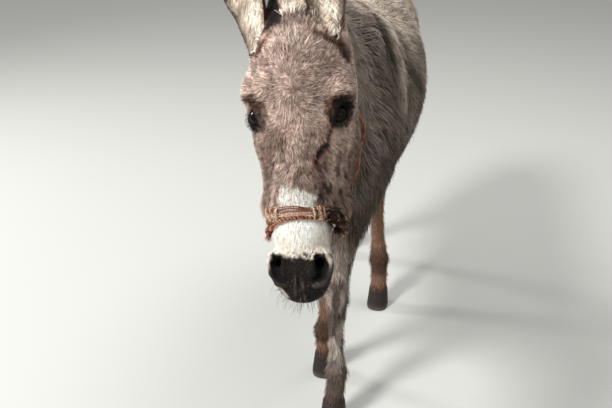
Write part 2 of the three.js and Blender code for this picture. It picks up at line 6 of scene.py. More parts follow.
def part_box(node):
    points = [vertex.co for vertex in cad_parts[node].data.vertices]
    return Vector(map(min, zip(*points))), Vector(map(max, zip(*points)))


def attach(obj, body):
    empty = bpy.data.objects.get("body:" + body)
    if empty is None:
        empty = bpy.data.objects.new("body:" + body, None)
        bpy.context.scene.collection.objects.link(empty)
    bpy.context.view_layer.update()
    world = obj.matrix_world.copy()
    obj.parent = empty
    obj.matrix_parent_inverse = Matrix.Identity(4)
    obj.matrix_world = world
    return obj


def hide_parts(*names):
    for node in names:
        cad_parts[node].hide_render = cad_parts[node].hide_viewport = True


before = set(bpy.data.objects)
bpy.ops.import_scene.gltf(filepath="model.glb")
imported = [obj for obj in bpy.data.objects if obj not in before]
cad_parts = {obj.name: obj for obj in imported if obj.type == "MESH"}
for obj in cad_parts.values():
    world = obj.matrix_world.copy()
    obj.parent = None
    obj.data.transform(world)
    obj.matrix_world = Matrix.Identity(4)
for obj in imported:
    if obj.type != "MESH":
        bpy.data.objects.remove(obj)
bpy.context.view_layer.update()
rng = np.random.default_rng(7)

bothSides = ((1, "Left"), (-1, "Right"))

# A donkey: one smooth skin worked out from a rounded form, with the coat as tufts over it.
# Shapes are worked out in mm in the body's own axes: it faces -Y, its left is +X, z is up.
# The head has axes of its own: across to its left, back from the face, down the face.


def unit(v):  # vectors of length 1
    v = np.asarray(v, float)
    return v / np.maximum(np.linalg.norm(v, axis=-1, keepdims=True), 1e-9)


def smooth(v, low, high):  # eased ramp from 0 at low to 1 at high
    t = np.clip((v - low) / (high - low), 0, 1)
    return t * t * (3 - 2 * t)


def fall(v, low, high):  # eased ramp from 1 at low to 0 at high
    return 1 - smooth(v, low, high)


def mix(a, b, t):  # from a to b by the share t
    return a + (b - a) * t


def mirrored(p):  # points with the right half turned over onto the left
    return np.column_stack([np.abs(p[:, 0]), p[:, 1], p[:, 2]])


def linear(colour):  # sRGB hex to linear red, green, blue
    c = np.array([int(colour[i:i + 2], 16) for i in (1, 3, 5)]) / 255
    return np.where(c <= 0.04045, c / 12.92, ((c + 0.055) / 1.055) ** 2.4)


def cloud(p, size, seed):
    # value noise, 0 to 1: a random height at each corner of a lattice, eased between corners
    q = p / size + seed * 7.31
    cell = np.floor(q).astype(np.int64)
    f = q - cell
    f = f * f * (3 - 2 * f)
    total = np.zeros(len(p))
    for corner in range(8):
        bit = np.array([corner & 1, (corner >> 1) & 1, (corner >> 2) & 1])
        c = cell + bit
        h = (c[:, 0] * 73856093) ^ (c[:, 1] * 19349663) ^ (c[:, 2] * 83492791) ^ (seed * 40503)
        h = ((h ^ (h >> 13)) * 1274126177) & 0xFFFFFFFF
        h = (h ^ (h >> 15)) & 0xFFFF
        total += np.prod(np.where(bit == 1, f, 1 - f), axis=1) * h / 65535
    return total


# The form, by distances

def blend(a, b, round):  # smooth union with a fillet about `round` wide
    h = np.maximum(round - np.abs(a - b), 0) / round
    return np.minimum(a, b) - h * h * round * 0.25


def carve(a, b, round):  # form b cut out of form a: the same union with a turned inside out
    return -blend(-a, b, round)


def egg(p, centre, half):  # distance to an ellipsoid, from how far out it is in its own units
    v = p - np.array(centre, float)
    near = np.sqrt(((v / half) ** 2).sum(1))
    far = np.sqrt(((v / np.square(half)) ** 2).sum(1))
    return near * (near - 1) / np.maximum(far, 1e-6)


def limb(p, start, end):  # tapering limb between two stations [x, y, z, radius, width share]
    start, end = np.array(start, float), np.array(end, float)
    ab = end[:3] - start[:3]
    t = np.clip((p - start[:3]) @ ab / (ab @ ab), 0, 1)
    v = p - start[:3] - t[:, None] * ab
    r = mix(start[3], end[3], t)
    flat = mix(start[4], end[4], t)
    across = v[:, 0] ** 2
    rest = v[:, 1] ** 2 + v[:, 2] ** 2
    return (np.sqrt(rest + across / flat ** 2) - r) * np.minimum(flat, 1)


def chain(p, rows, round):  # limbs from each station to the next, blended
    d = limb(p, rows[0], rows[1])
    for a, b in zip(rows[1:-1], rows[2:]):
        d = blend(d, limb(p, a, b), round)
    return d


def stationAt(rows, at):
    # a table of stations read at many places, by the cubic through each pair that keeps its slopes
    rows = np.array(rows, float)
    at = np.clip(at, rows[0, 0], rows[-1, 0])
    i = np.clip(np.searchsorted(rows[:, 0], at, side="right") - 1, 0, len(rows) - 2)
    t = ((at - rows[i, 0]) / (rows[i + 1, 0] - rows[i, 0]))[:, None]
    m0 = (rows[i + 1] - rows[np.maximum(i - 1, 0)]) * 0.5
    m1 = (rows[np.minimum(i + 2, len(rows) - 1)] - rows[i]) * 0.5
    return (
        (2 * t ** 3 - 3 * t ** 2 + 1) * rows[i] + (t ** 3 - 2 * t ** 2 + t) * m0
        + (3 * t ** 2 - 2 * t ** 3) * rows[i + 1] + (t ** 3 - t ** 2) * m1
    )


body = {
    # y along the back, top line, belly line, half width
    "trunk": [
        [-125, 985, 690, 100], [-60, 1070, 620, 138], [60, 1098, 574, 166], [200, 1072, 548, 194],
        [350, 1052, 540, 212], [480, 1050, 552, 207], [600, 1062, 588, 178], [700, 1058, 636, 149],
        [790, 1026, 692, 124], [845, 985, 740, 114],
    ],
    "trunkEnd": 52,
    # centre, half depth, width as a share of the depth
    "neck": [
        [0, 40, 868, 205, 0.62], [0, -130, 930, 180, 0.6], [10, -290, 1006, 143, 0.6],
        [24, -420, 1068, 108, 0.68], [30, -500, 1100, 84, 0.8],
    ],
    "crest": [
        [14, -500, 1164, 36, 0.85], [8, -330, 1140, 40, 0.85],
        [0, -150, 1106, 38, 0.85], [0, 40, 1076, 28, 0.85],
    ],
    "tail": [
        [0, 860, 970, 32, 1], [0, 920, 940, 26, 1], [2, 938, 880, 22, 1], [4, 942, 760, 18, 1],
        [6, 944, 640, 25, 1], [8, 944, 540, 31, 1], [8, 942, 450, 18, 1],
    ],
    "foreLeg": [
        [98, 16, 780, 90, 0.62], [78, 22, 640, 78, 0.68], [52, 6, 540, 58, 0.82], [34, -10, 450, 42, 0.86],
        [28, -26, 370, 35, 0.94], [28, -32, 332, 37.5, 0.94], [29, -38, 290, 29, 0.94],
        [32, -54, 215, 23.5, 0.96], [36, -70, 162, 25, 1], [39, -82, 134, 31.5, 1],
        [38, -98, 92, 27.5, 1], [36, -108, 62, 31, 1],
    ],
    "hindLeg": [
        [78, 690, 860, 134, 0.58], [93, 640, 720, 118, 0.6], [92, 630, 600, 80, 0.64],
        [76, 645, 500, 53, 0.76], [64, 655, 445, 41, 0.8], [60, 645, 405, 42, 0.74],
        [62, 624, 345, 31, 0.88], [70, 585, 250, 26, 0.96], [79, 560, 178, 28, 1],
        [84, 545, 146, 34.5, 1], [88, 522, 96, 28.5, 1], [89, 505, 62, 31.5, 1],
    ],
    # side, foot's x and y, height above which the leg keeps its place
    "stance": {
        "fore_left": (1, 36, -108, 700), "fore_right": (-1, 24, 112, 700),
        "hind_left": (1, 89, 505, 700), "hind_right": (-1, 92, 830, 760),
    },
    # dark stripe across the shoulders, from the withers down
    "shoulderStripe": [
        [0, 118, 1078, 10, 1], [72, 66, 1073, 10, 1], [100, 14, 1066, 10, 1], [117, -30, 1042, 10, 1],
        [130, -46, 1012, 9.5, 1], [146, -43, 968, 7.5, 1], [157, -37, 925, 3, 1],
    ],
    "coatDepth": 17, "legCoatDepth": 6, "faceCoatDepth": 4.5, "muzzleCoatDepth": 0.6,
}


def posedLeg(name):
    # a leg's stations moved sideways by a shift that grows from none at the top to all at the foot
    side, footX, footY, highest = body["stance"][name]
    rows = np.array(body["foreLeg" if name.startswith("fore") else "hindLeg"], float)
    share = np.clip((highest - rows[:, 2]) / (highest - rows[-1, 2]), 0, 1)
    rows[:, 0] = side * (rows[:, 0] + (footX - rows[-1, 0]) * share)
    rows[:, 1] += (footY - rows[-1, 1]) * share
    if name == "hind_right":  # set back, so it straightens at the hock
        rows[3:6, 1] -= [16, 26, 20]
    return rows


legs = {name: posedLeg(name) for name in body["stance"]}


def trunkForm(p):
    # an ellipse at each place along the back, closed at both ends by half an ellipsoid
    s = stationAt(body["trunk"], p[:, 1])
    middle, tall, wide = (s[:, 1] + s[:, 2]) / 2, (s[:, 1] - s[:, 2]) / 2, s[:, 3]
    past = p[:, 1] - np.clip(p[:, 1], body["trunk"][0][0], body["trunk"][-1][0])
    q = np.sqrt((p[:, 0] / wide) ** 2 + ((p[:, 2] - middle) / tall) ** 2 + (past / body["trunkEnd"]) ** 2)
    return (q - 1) * np.minimum(tall, wide) * 0.9


def bodyForm(p, bare):
    # bare: without the hair that makes up the crest of the neck and the brush of the tail
    crest, tail = np.array(body["crest"], float), np.array(body["tail"], float)
    if bare:
        crest[:, 2] -= 24
        crest[:, 3] -= 6
        tail[:, 3] = [30, 26, 24, 22, 21, 19, 16]
    neck = blend(chain(p, body["neck"], 40), chain(p, crest, 20), 26)
    d = blend(trunkForm(p), neck, 70)
    w = mirrored(p)
    shoulder = np.minimum(egg(w, [98, 0, 850], [70, 125, 210]), egg(w, [64, -118, 770], [62, 62, 84]))
    d = blend(d, shoulder, 60)
    d = blend(d, egg(w, [74, 745, 820], [68, 126, 180]), 50)
    for rows in legs.values():
        d = blend(d, chain(p, rows, 10), 45)
    return blend(d, chain(p, tail, 14), 24)


poll = np.array([15, -535, 1177.0])
faceDown = unit([0.1, -0.407, -0.907])
faceOut = np.array([-0.04, -0.905, 0.42])
faceOut = unit(faceOut - (faceOut @ faceDown) * faceDown)
faceLeft = unit(np.cross(faceOut, faceDown))
headAxes = np.array([faceLeft, -faceOut, faceDown])


def toHead(p):  # body's axes to the head's: across to its left, back from the face, down the face
    return (p - poll) @ headAxes.T


def fromHead(q):  # head's axes to the body's
    return np.asarray(q, float) @ headAxes + poll


def headShape(q):
    # the head in its own axes: rounded masses blended on both sides, hollows carved out
    w = mirrored(q)
    d = egg(w, [0, 74, 84], [90, 69, 92])  # brain case and forehead
    d = blend(d, chain(w, [  # the face, from the brows to the nose
        [0, 66, 110, 66, 1.3], [0, 66, 190, 63, 1.12], [0, 62, 280, 56, 0.96],
        [0, 54, 350, 49, 0.98], [0, 52, 415, 45, 1.12],
    ], 20), 30)
    d = blend(d, egg(w, [76, 40, 118], [27, 36, 40]), 24)  # brow
    d = blend(d, egg(w, [51, 112, 166], [45, 72, 92]), 34)  # cheek
    d = blend(d, limb(w, [62, 58, 178, 20, 1], [48, 56, 275, 16, 1]), 26)
    d = blend(d, limb(w, [47, 132, 210, 45, 0.92], [41, 92, 306, 41, 0.96]), 30)  # jaw
    d = blend(d, limb(w, [30, 98, 300, 32, 0.9], [12, 96, 372, 21, 1]), 24)
    d = blend(d, egg(w, [35, 32, 418], [20, 24, 32]), 16)  # nostril wing
    d = blend(d, egg(w, [0, 48, 450], [43, 32, 33]), 18)  # upper lip
    d = blend(d, egg(w, [0, 86, 436], [33, 28, 42]), 16)  # lower lip and chin
    d = blend(d, limb(q, [46, 66, 58, 36, 1], [53, 66, -20, 27, 1]), 18)  # roots of the ears
    d = blend(d, limb(q, [-52, 66, 58, 36, 1], [-75, 66, -12, 27, 1]), 18)
    d = blend(d, limb(q, [-30, 76, 20, 34, 1], [-43, 82, -46, 21, 1]), 18)
    d = carve(d, egg(w, [43, 8, 420], [9, 14, 17]), 8)
    d = carve(d, egg(w, [64, -4, 80], [20, 12, 24]), 20)  # hollow over the eye
    return carve(d, egg(w, [94, 6, 162], [22, 18, 22]), 14)


def outerForm(p):  # out to the tips of the coat, as the solids are
    return blend(bodyForm(p, False), headShape(toHead(p)), 40)


# Ears: each a cupped leaf, given by how far along and how far round it

ear = {
    "length": 238, "coat": 2.5, "lowest": -0.3,
    # share of the length, half width, depth of the cup, thickness
    "stations": [
        [-0.3, 2, 2, 2], [-0.22, 7, 6, 3], [-0.12, 15, 13, 5], [0, 28, 24, 7], [0.1, 36, 29, 8],
        [0.2, 43, 29, 9], [0.38, 49, 26, 8], [0.6, 45, 21, 7], [0.8, 31, 14, 5], [0.93, 13, 8, 4],
        [1, 3.5, 4, 3],
    ],
    # foot's place across, lean, turn, and where the notch at the front of the cup ends on the head
    "sides": {1: (50, -0.1, 0.4, [61, 22, 28]), -1: (75, 0.34, 0.45, [-84, 38, 48])},
}


def earFrame(side):
    # the ear's foot, the way it points, the way the cup opens, and across the cup
    across, lean, turn, notch = ear["sides"][side]
    along = unit(-faceDown + side * lean * faceLeft + 0.1 * faceOut)
    opening = faceOut * np.cos(turn) + side * np.sin(turn) * faceLeft
    opening = unit(opening - (opening @ along) * along)
    return fromHead([side * across, 64, -10]), along, opening, np.cross(along, opening)


def earLine(side, t):
    # middle of the cup: straight above its foot, and eased to the notch on the head below it
    foot, along, opening, aside = earFrame(side)
    _, wide, cup, thick = stationAt(ear["stations"], t).T
    centre = foot + along * (t * ear["length"])[:, None] + opening * ((cup + 2) * 0.4)[:, None]
    low = smooth(t, ear["lowest"], 0.14)[:, None]
    notch = fromHead(ear["sides"][side][3])
    return mix(notch, centre, low), wide, cup, thick


def tubeQuads(rings, sides, closed=False):
    # faces between neighbouring rings of points, and from the last ring to the first where closed
    i, j = np.meshgrid(np.arange(rings if closed else rings - 1), np.arange(sides), indexing="ij")
    k, m = (i + 1) % rings, (j + 1) % sides
    return np.stack([i * sides + j, i * sides + m, k * sides + m, k * sides + j], axis=-1).reshape(-1, 4)


def earSurface(side, steps=56, around=20):
    # round the outer half circle of the cup, then back along its inner face, at each step
    foot, along, opening, aside = earFrame(side)
    t = np.linspace(ear["lowest"], 0.995, steps)
    centre, wide, cup, thick = earLine(side, t)
    inset = ear["coat"] * smooth(t, -0.3, 0.1)
    wide, cup = wide - inset, cup - inset
    thick = np.maximum(thick - 2 * inset, 1.6)
    a = np.linspace(0, np.pi, around)
    outer = np.stack([np.cos(a) * wide[:, None], -np.sin(a) * cup[:, None]], axis=-1)
    b = a[::-1][1:-1]
    inner = np.stack([np.cos(b) * (wide - thick)[:, None], np.sin(b) * (thick - cup)[:, None]], axis=-1)
    ring = np.concatenate([outer, inner], axis=1)
    verts = centre[:, None, :] + ring[..., :1] * aside + ring[..., 1:] * opening
    count = ring.shape[1]
    isInner = np.zeros((steps, count), bool)
    isInner[:, around:] = True
    outward = np.concatenate([np.cos(a), np.cos(b)])[None, :] * side * np.ones((steps, 1))
    share = np.repeat(t[:, None], count, axis=1)
    return verts.reshape(-1, 3), tubeQuads(steps, count), isInner.ravel(), outward.ravel(), share.ravel()


def conchaHollow(p, side):
    # room inside the foot of the cup, down to its notch
    t = np.array([-0.27, -0.12, 0.04, 0.16])
    centre, wide, cup, thick = earLine(side, t)
    opening = earFrame(side)[2]
    centre = centre + opening * (wide * 0.25)[:, None]
    return chain(p, [[*c, r, 1] for c, r in zip(centre, wide - thick * 0.6)], 6)


def boxMiddle(name):  # middle of a node's box in mm, in the frame's axes
    low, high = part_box(name)
    return (np.array(low) + np.array(high)) * 500


# Where the solids put the origin: the middle of their outline, found from one hoof
hoofMiddle, hoofAhead = boxMiddle("hoof_fore_left"), 9  # the hoof reaches ahead of the leg's middle
footX, footY = body["stance"]["fore_left"][1:3]
shift = np.array([hoofMiddle[0] - footX, hoofMiddle[1] - footY + hoofAhead, 0.0])


eye = {
    "radius": 18.7, "lidThick": 3.6,
    "halfLong": 58, "halfTall": 34,  # of the opening, in degrees seen from the middle of the ball
}


def eyeAxes(side):
    # outward, along the opening towards the nose, and across it towards the brow
    out = unit(side * faceLeft * 0.76 + faceOut * 0.64 + faceDown * 0.05)
    long = faceDown * 0.84 + faceOut * 0.2 - side * faceLeft * 0.5
    long = unit(long - (long @ out) * out)
    return out, long, unit(np.cross(out, long)) * side


eyes = {1: boxMiddle("eye_left") - shift, -1: boxMiddle("eye_right") - shift}
# grooves and ridges of the muzzle, as stations on its left side
nostril = [[37, 8, 403, 8.5, 1], [41, 12, 416, 8, 1], [38, 15, 430, 6, 1], [29, 14, 439, 4.5, 1]]
nostrilDepth = [[38, 12, 414, 9, 1], [27, 46, 404, 8, 1]]
nostrilRim = [
    [46, 12, 394, 4, 1], [51, 20, 408, 5, 1], [49, 23, 428, 5, 1], [39, 20, 445, 4.5, 1],
    [26, 16, 450, 3.5, 1],
]
mouthLine = [[0, 68, 488, 2.6, 1], [20, 69, 480, 2.6, 1], [36, 74, 450, 2.4, 1], [45, 84, 408, 1.6, 1]]


def lidOpening(p, side):
    # how far a direction from the ball's middle lies outside the opening's ellipse, in mm on the ball
    out, long, tall = eyeAxes(side)
    v = p - eyes[side]
    size = np.maximum(np.linalg.norm(v, axis=1), 1e-6)
    a = v @ long / size / np.sin(np.radians(eye["halfLong"]))
    b = (v @ tall / size + 0.06) / np.sin(np.radians(eye["halfTall"]))
    facing = v @ out / size
    return np.where(facing > 0, (np.sqrt(a * a + b * b) - 1) * 11, 20), size


def headness(q):  # 1 on the head, 0 on the neck and body
    return fall(headShape(q), 6, 50)


def coatDepth(p, q):
    # how deep the coat lies over the skin: thickest on the body, thin on legs and face, none on the lips
    onBody = mix(body["legCoatDepth"], body["coatDepth"], smooth(p[:, 2], 430, 660))
    onBody = mix(onBody, body["legCoatDepth"], smooth(p[:, 1], 868, 900))
    onFace = mix(body["faceCoatDepth"], body["muzzleCoatDepth"], smooth(q[:, 2], 380, 412))
    return mix(onBody, onFace, headness(q))


def skinForm(p):
    # the solids' form drawn in by the coat's depth, with the cups' feet, nostrils, mouth and lids worked in
    q = toHead(p)
    w = mirrored(q)
    d = blend(bodyForm(p, True), headShape(q), 40) + coatDepth(p, q)
    near = np.flatnonzero((np.abs(q[:, 0]) < 150) & (q[:, 2] > -110) & (q[:, 2] < 90) & (q[:, 1] < 130))
    if len(near):
        for side in (1, -1):
            d[near] = carve(d[near], conchaHollow(p[near], side), 4)
    near = np.flatnonzero((np.abs(q[:, 0]) < 140) & (q[:, 2] > 90) & (q[:, 2] < 520) & (q[:, 1] < 150))
    if len(near) == 0:
        return d
    w, e, pn = w[near], d[near], p[near]
    # nose: a pale rim outside each nostril, the nostril, the mouth and the groove of the upper lip
    e = blend(e, chain(w, nostrilRim, 6), 5)
    e = blend(e, limb(w, [29, 8, 398, 5, 1], [23, 10, 426, 4, 1]), 8)
    e = carve(e, chain(w, nostril, 6), 4)
    e = carve(e, limb(w, nostrilDepth[0], nostrilDepth[1]), 4)
    e = carve(e, chain(w, mouthLine, 3), 4)
    e = blend(e, limb(w, [7, 17, 440, 3.5, 1], [7, 30, 474, 3, 1]), 6)
    e = carve(e, limb(w, [0, 12, 434, 2.5, 1], [0, 28, 478, 2.5, 1]), 4)
    # folds over and under the eye, then the lids round the ball with their opening
    for side in (1, -1):
        opening, size = lidOpening(pn, side)
        e = blend(e, size - eye["radius"] - eye["lidThick"], 12)
        out, long, tall = eyeAxes(side)
        v = pn - eyes[side]
        aroundEye = np.sqrt((v @ long / 1.25) ** 2 + (v @ tall) ** 2)
        ring = np.sqrt((aroundEye - 21.5) ** 2 + (v @ out - 10) ** 2)
        upper = smooth(v @ tall, -2, 8)
        e = carve(e, ring - mix(-1.0, 3.4, upper), 3)
        e = carve(e, np.maximum(opening, eye["radius"] - 2.5 - size), 1.6)
    d[near] = e
    return d


def slopeOf(form, p, reach=0.6):  # slope of a form, from its values `reach` mm to each side
    g = np.column_stack([form(p + step) - form(p - step) for step in np.eye(3) * reach])
    return g / (2 * reach)


def ontoForm(form, p, clear, turns):
    # points moved along the form's slope until they stand `clear` mm outside it
    for turn in range(turns):
        g = slopeOf(form, p)
        p = p - (form(p) - clear)[:, None] * g / np.maximum((g * g).sum(1), 0.1)[:, None]
    return p


# The skin as a mesh: one point in each cell that the surface passes, drawn onto the surface

def axisOf(stops):  # cell edges from [start, step] pairs, ending at the last start
    parts = [np.arange(a, b - step * 0.4, step) for (a, step), (b, _) in zip(stops, stops[1:])]
    return np.concatenate([*parts, [stops[-1][0]]])


def bandValues(form, axes, every=5):
    # the form at every fifth corner first, and at all corners only where it is near zero
    count = [len(a) for a in axes]
    sparse = [np.unique(np.append(np.arange(0, n, every), n - 1)) for n in count]
    at = np.array(np.meshgrid(*[a[s] for a, s in zip(axes, sparse)], indexing="ij")).reshape(3, -1).T
    rough = form(at).reshape([len(s) for s in sparse])
    owner = [np.minimum(np.searchsorted(s, np.arange(n), side="right") - 1, len(s) - 2)
             for s, n in zip(sparse, count)]
    low = np.full([len(s) - 1 for s in sparse], np.inf)
    for c in range(8):
        part = tuple(slice(1, None) if (c >> m) & 1 else slice(0, -1) for m in range(3))
        low = np.minimum(low, np.abs(rough[part]))
    active = low < 42
    values = rough[np.ix_(*owner)]
    need = np.argwhere(active[np.ix_(*owner)])
    for start in range(0, len(need), 400000):
        some = need[start:start + 400000]
        p = np.column_stack([axes[m][some[:, m]] for m in range(3)])
        values[tuple(some.T)] = form(p)
    return values


def netSurface(form, axes):
    # each edge of the lattice that the form crosses gives a face between the four cells round it, and
    # a cell's point is the middle of its crossings, moved onto the form by at most 2.4 mm
    values = bandValues(form, axes)
    inside = values < 0
    cells, points = [], []
    for m in range(3):
        u, w = (m + 1) % 3, (m + 2) % 3
        first = tuple(slice(0, -1) if k == m else slice(None) for k in range(3))
        second = tuple(slice(1, None) if k == m else slice(None) for k in range(3))
        at = np.argwhere(inside[first] != inside[second])
        at = at[(at[:, u] > 0) & (at[:, w] > 0)]
        there = at.copy()
        there[:, m] += 1
        a, b = values[tuple(at.T)], values[tuple(there.T)]
        p = np.column_stack([axes[k][at[:, k]] for k in range(3)])
        p[:, m] += a / (a - b) * (axes[m][at[:, m] + 1] - axes[m][at[:, m]])
        quad = np.repeat(at[:, None, :], 4, axis=1)
        quad[:, 1:3, u] -= 1
        quad[:, 2:4, w] -= 1
        flip = a >= 0
        quad[flip] = quad[flip][:, ::-1]
        cells.append(quad)
        points.append(np.repeat(p[:, None, :], 4, axis=1))
    cells, points = np.concatenate(cells), np.concatenate(points)
    key = np.ravel_multi_index(cells.reshape(-1, 3).T, values.shape)
    _, index = np.unique(key, return_inverse=True)
    hits = np.bincount(index)
    flat = points.reshape(-1, 3)
    verts = np.column_stack([np.bincount(index, flat[:, k]) / hits for k in range(3)])
    start = verts.copy()
    for turn in range(3):
        g = slopeOf(form, verts)
        step = form(verts)[:, None] * g / np.maximum((g * g).sum(1), 0.1)[:, None]
        verts = start + np.clip(verts - step - start, -2.4, 2.4)
    return verts, index.reshape(-1, 4)


axes = [
    axisOf([(-240, 7.5), (-104, 4.2), (128, 7.5), (240, 0)]),
    axisOf([(-800, 4), (-470, 10), (-180, 7.5), (30, 12), (480, 8.5), (985, 0)]),
    axisOf([(40, 10), (610, 4.6), (930, 3.8), (1100, 5), (1270, 0)]),
]
skinVerts, skinQuads = netSurface(skinForm, axes)
skinSlopes = unit(slopeOf(skinForm, skinVerts))
print("skin form", len(skinVerts), "points", len(skinQuads), "faces")


# Markings: the same colours for the skin and for every tuft that grows from it

tints = {
    "coat": "#85786e", "coatDarkAndShade": "#493d34", "coatPale": "#d2c1b0", "stripe": "#2a1d18",
    "face": "#d4b8a8", "faceGrey": "#7a6359", "forehead": "#d2b7a8", "white": "#fff8ec",
    "nose": "#17120f", "nosePale": "#7a6d66", "nostril": "#0a0707", "rim": "#ead8ce",
    "eyeDark": "#17100e", "rust": "#a9694a", "earRoot": "#4a3026",
    "earOut": "#8f7d74", "earIn": "#efdfcb", "earEdge": "#3c241b", "earBlackAndShadow": "#070404",
    "legGrey": "#b9aca1", "legBrown": "#9b745d", "legDark": "#3f2a23", "pastern": "#5a4840",
    "mane": "#7a675e", "tail": "#5b4a42",
}
tint = {name: linear(value) for name, value in tints.items()}


def toward(colour, name, amount):  # a colour moved to a named tint by an amount from 0 to 1
    return mix(colour, tint[name], np.clip(amount, 0, 1)[:, None])


def patches(p, size, seed, low, high):  # 0 where the noise is under low, 1 where it is over high
    return smooth(cloud(p, size, seed), low, high)


def nearLine(w, a, b, width):  # 1 on the line from a to b, fading to 0 at `width`
    return fall(limb(w, [*a, 0, 1], [*b, 0, 1]), width * 0.35, width)


def shadowAndTuftByEars(q):
    # 1 in the painted shadow on each side of the forelock, down to the feet of the ears, and in the
    # forelock's dark tuft
    x, up = q[:, 0], -q[:, 2]
    right = smooth(-x - 0.5 * np.clip(up - 18, 0, 40), 19, 25) * fall(-x, 60, 75)
    right = right * smooth(up - 0.35 * (x + 20), -6, 4)
    left = smooth(x, 15, 19) * fall(x, 27, 33) * smooth(up, 6, 14)
    middle = fall(limb(q, [4, -2, -12, 3, 1], [3, 12, -26, 2, 1]), 0, 5)
    return np.maximum(np.maximum(right, left), middle)


def tearLine(q):  # distance to the dark line that tears leave from the left eye down to the bridge
    return chain(q, [
        [68, 14, 160, 8, 1], [61, 18, 190, 6.5, 1], [53, 19, 212, 6, 1], [44, 17, 224, 5.5, 1],
        [36, 14, 240, 5, 1],
    ], 3)


def stripeDistance(p):  # distance to the stripe over the shoulders, the same on both sides
    return chain(mirrored(p), body["shoulderStripe"], 3)


def eyeDistance(p):  # distance to the middle of the nearer eye
    return np.minimum(*[np.linalg.norm(p - eyes[side], axis=1) for side in (1, -1)])


def bodyTint(p, patch, fine):
    # grey brown, paler over the back (partly painted light), darker below (painted shade), with the cross
    # over the shoulders
    x, y, z = np.abs(p[:, 0]), p[:, 1], p[:, 2]
    c = np.tile(tint["coat"], (len(p), 1))
    c = toward(c, "coatPale", smooth(patch, 0.5, 0.9) * 0.4)
    # paler over the top of the back: partly the coat's own colour, partly painted light from above
    c = toward(c, "coatPale", smooth(z + 50 * (patch - 0.5), 880, 1010) * smooth(y, -40, 60))
    # darker towards the belly as painted shade, and darker in random patches of the coat itself
    c = toward(c, "coatDarkAndShade", 0.9 * fall(z + 60 * (fine - 0.5), 600, 900) + 0.3 * (patch < 0.3))
    # painted shade low on the sides of the chest
    chestSide = smooth(x, 90, 130) * fall(y, 0, 120) * fall(z + 60 * (fine - 0.5), 740, 850)
    c = toward(c, "coatDarkAndShade", chestSide * 0.7)
    # dark line along the back, crossed over the shoulders
    along = smooth(z, 900, 960) * fall(x + 4 * (fine - 0.5), 9, 16)
    c = toward(c, "stripe", along * smooth(y, -480, -400) * 0.85)
    c = toward(c, "stripe", fall(stripeDistance(p) + 4 * (fine - 0.5), 0.5, 5) * 0.97)
    # painted shade along a fold down each flank
    fold = chain(mirrored(p), [[142, 50, 980, 4, 1], [164, 195, 890, 7, 1], [186, 313, 800, 4, 1]], 4)
    return toward(c, "coatDarkAndShade", fall(fold + 12 * (patch - 0.5), 2, 18) * 0.75)


def legTint(p, patch, fine):
    # one fore leg is grey, pale in front and darker behind as painted shade; the others are a red brown,
    # darker at the fetlock
    x, y, z = p.T
    foreLeft = ((x > 6) & (y < 60)).astype(float)
    c = toward(np.tile(tint["legBrown"], (len(p), 1)), "coat", 0.25 * patch)
    c = mix(c, tint["legGrey"], (foreLeft * (0.75 + 0.25 * (fine > 0.4)))[:, None])
    # painted shade down the back of the grey fore leg
    behind = smooth(y + 0.12 * (z - 500), -66, -20) * foreLeft
    c = toward(c, "coatDarkAndShade", behind * 0.7)
    c = toward(c, "legDark", patches(p * [1, 1, 0.5], 22, 17, 0.52, 0.68) * foreLeft * 0.75)
    c = toward(c, "stripe", patches(p * [1, 1, 0.4], 9, 19, 0.62, 0.8) * foreLeft * 0.55)
    inFront = limb(p, [31, -66, 360, 9, 1], [28, -74, 322, 7, 1])
    inFront = np.minimum(inFront, limb(p, [27, -74, 316, 1.5, 1], [29, -84, 212, 1, 1]))
    inFront = np.minimum(inFront, limb(p, [12, -74, 262, 1, 1], [48, -70, 256, 1, 1]))
    c = toward(c, "legDark", fall(inFront + 8 * (fine - 0.5), 1, 8) * 0.85)
    cuff = smooth(z, 96, 120) * fall(z, 165, 200)
    c = toward(c, "legDark", cuff * mix(0.75, 0.25, foreLeft))
    c = mix(c, tint["pastern"], (foreLeft * fall(z, 130, 190))[:, None] * 0.85)
    return toward(c, "legDark", fall(z, 60, 96) * 0.8)


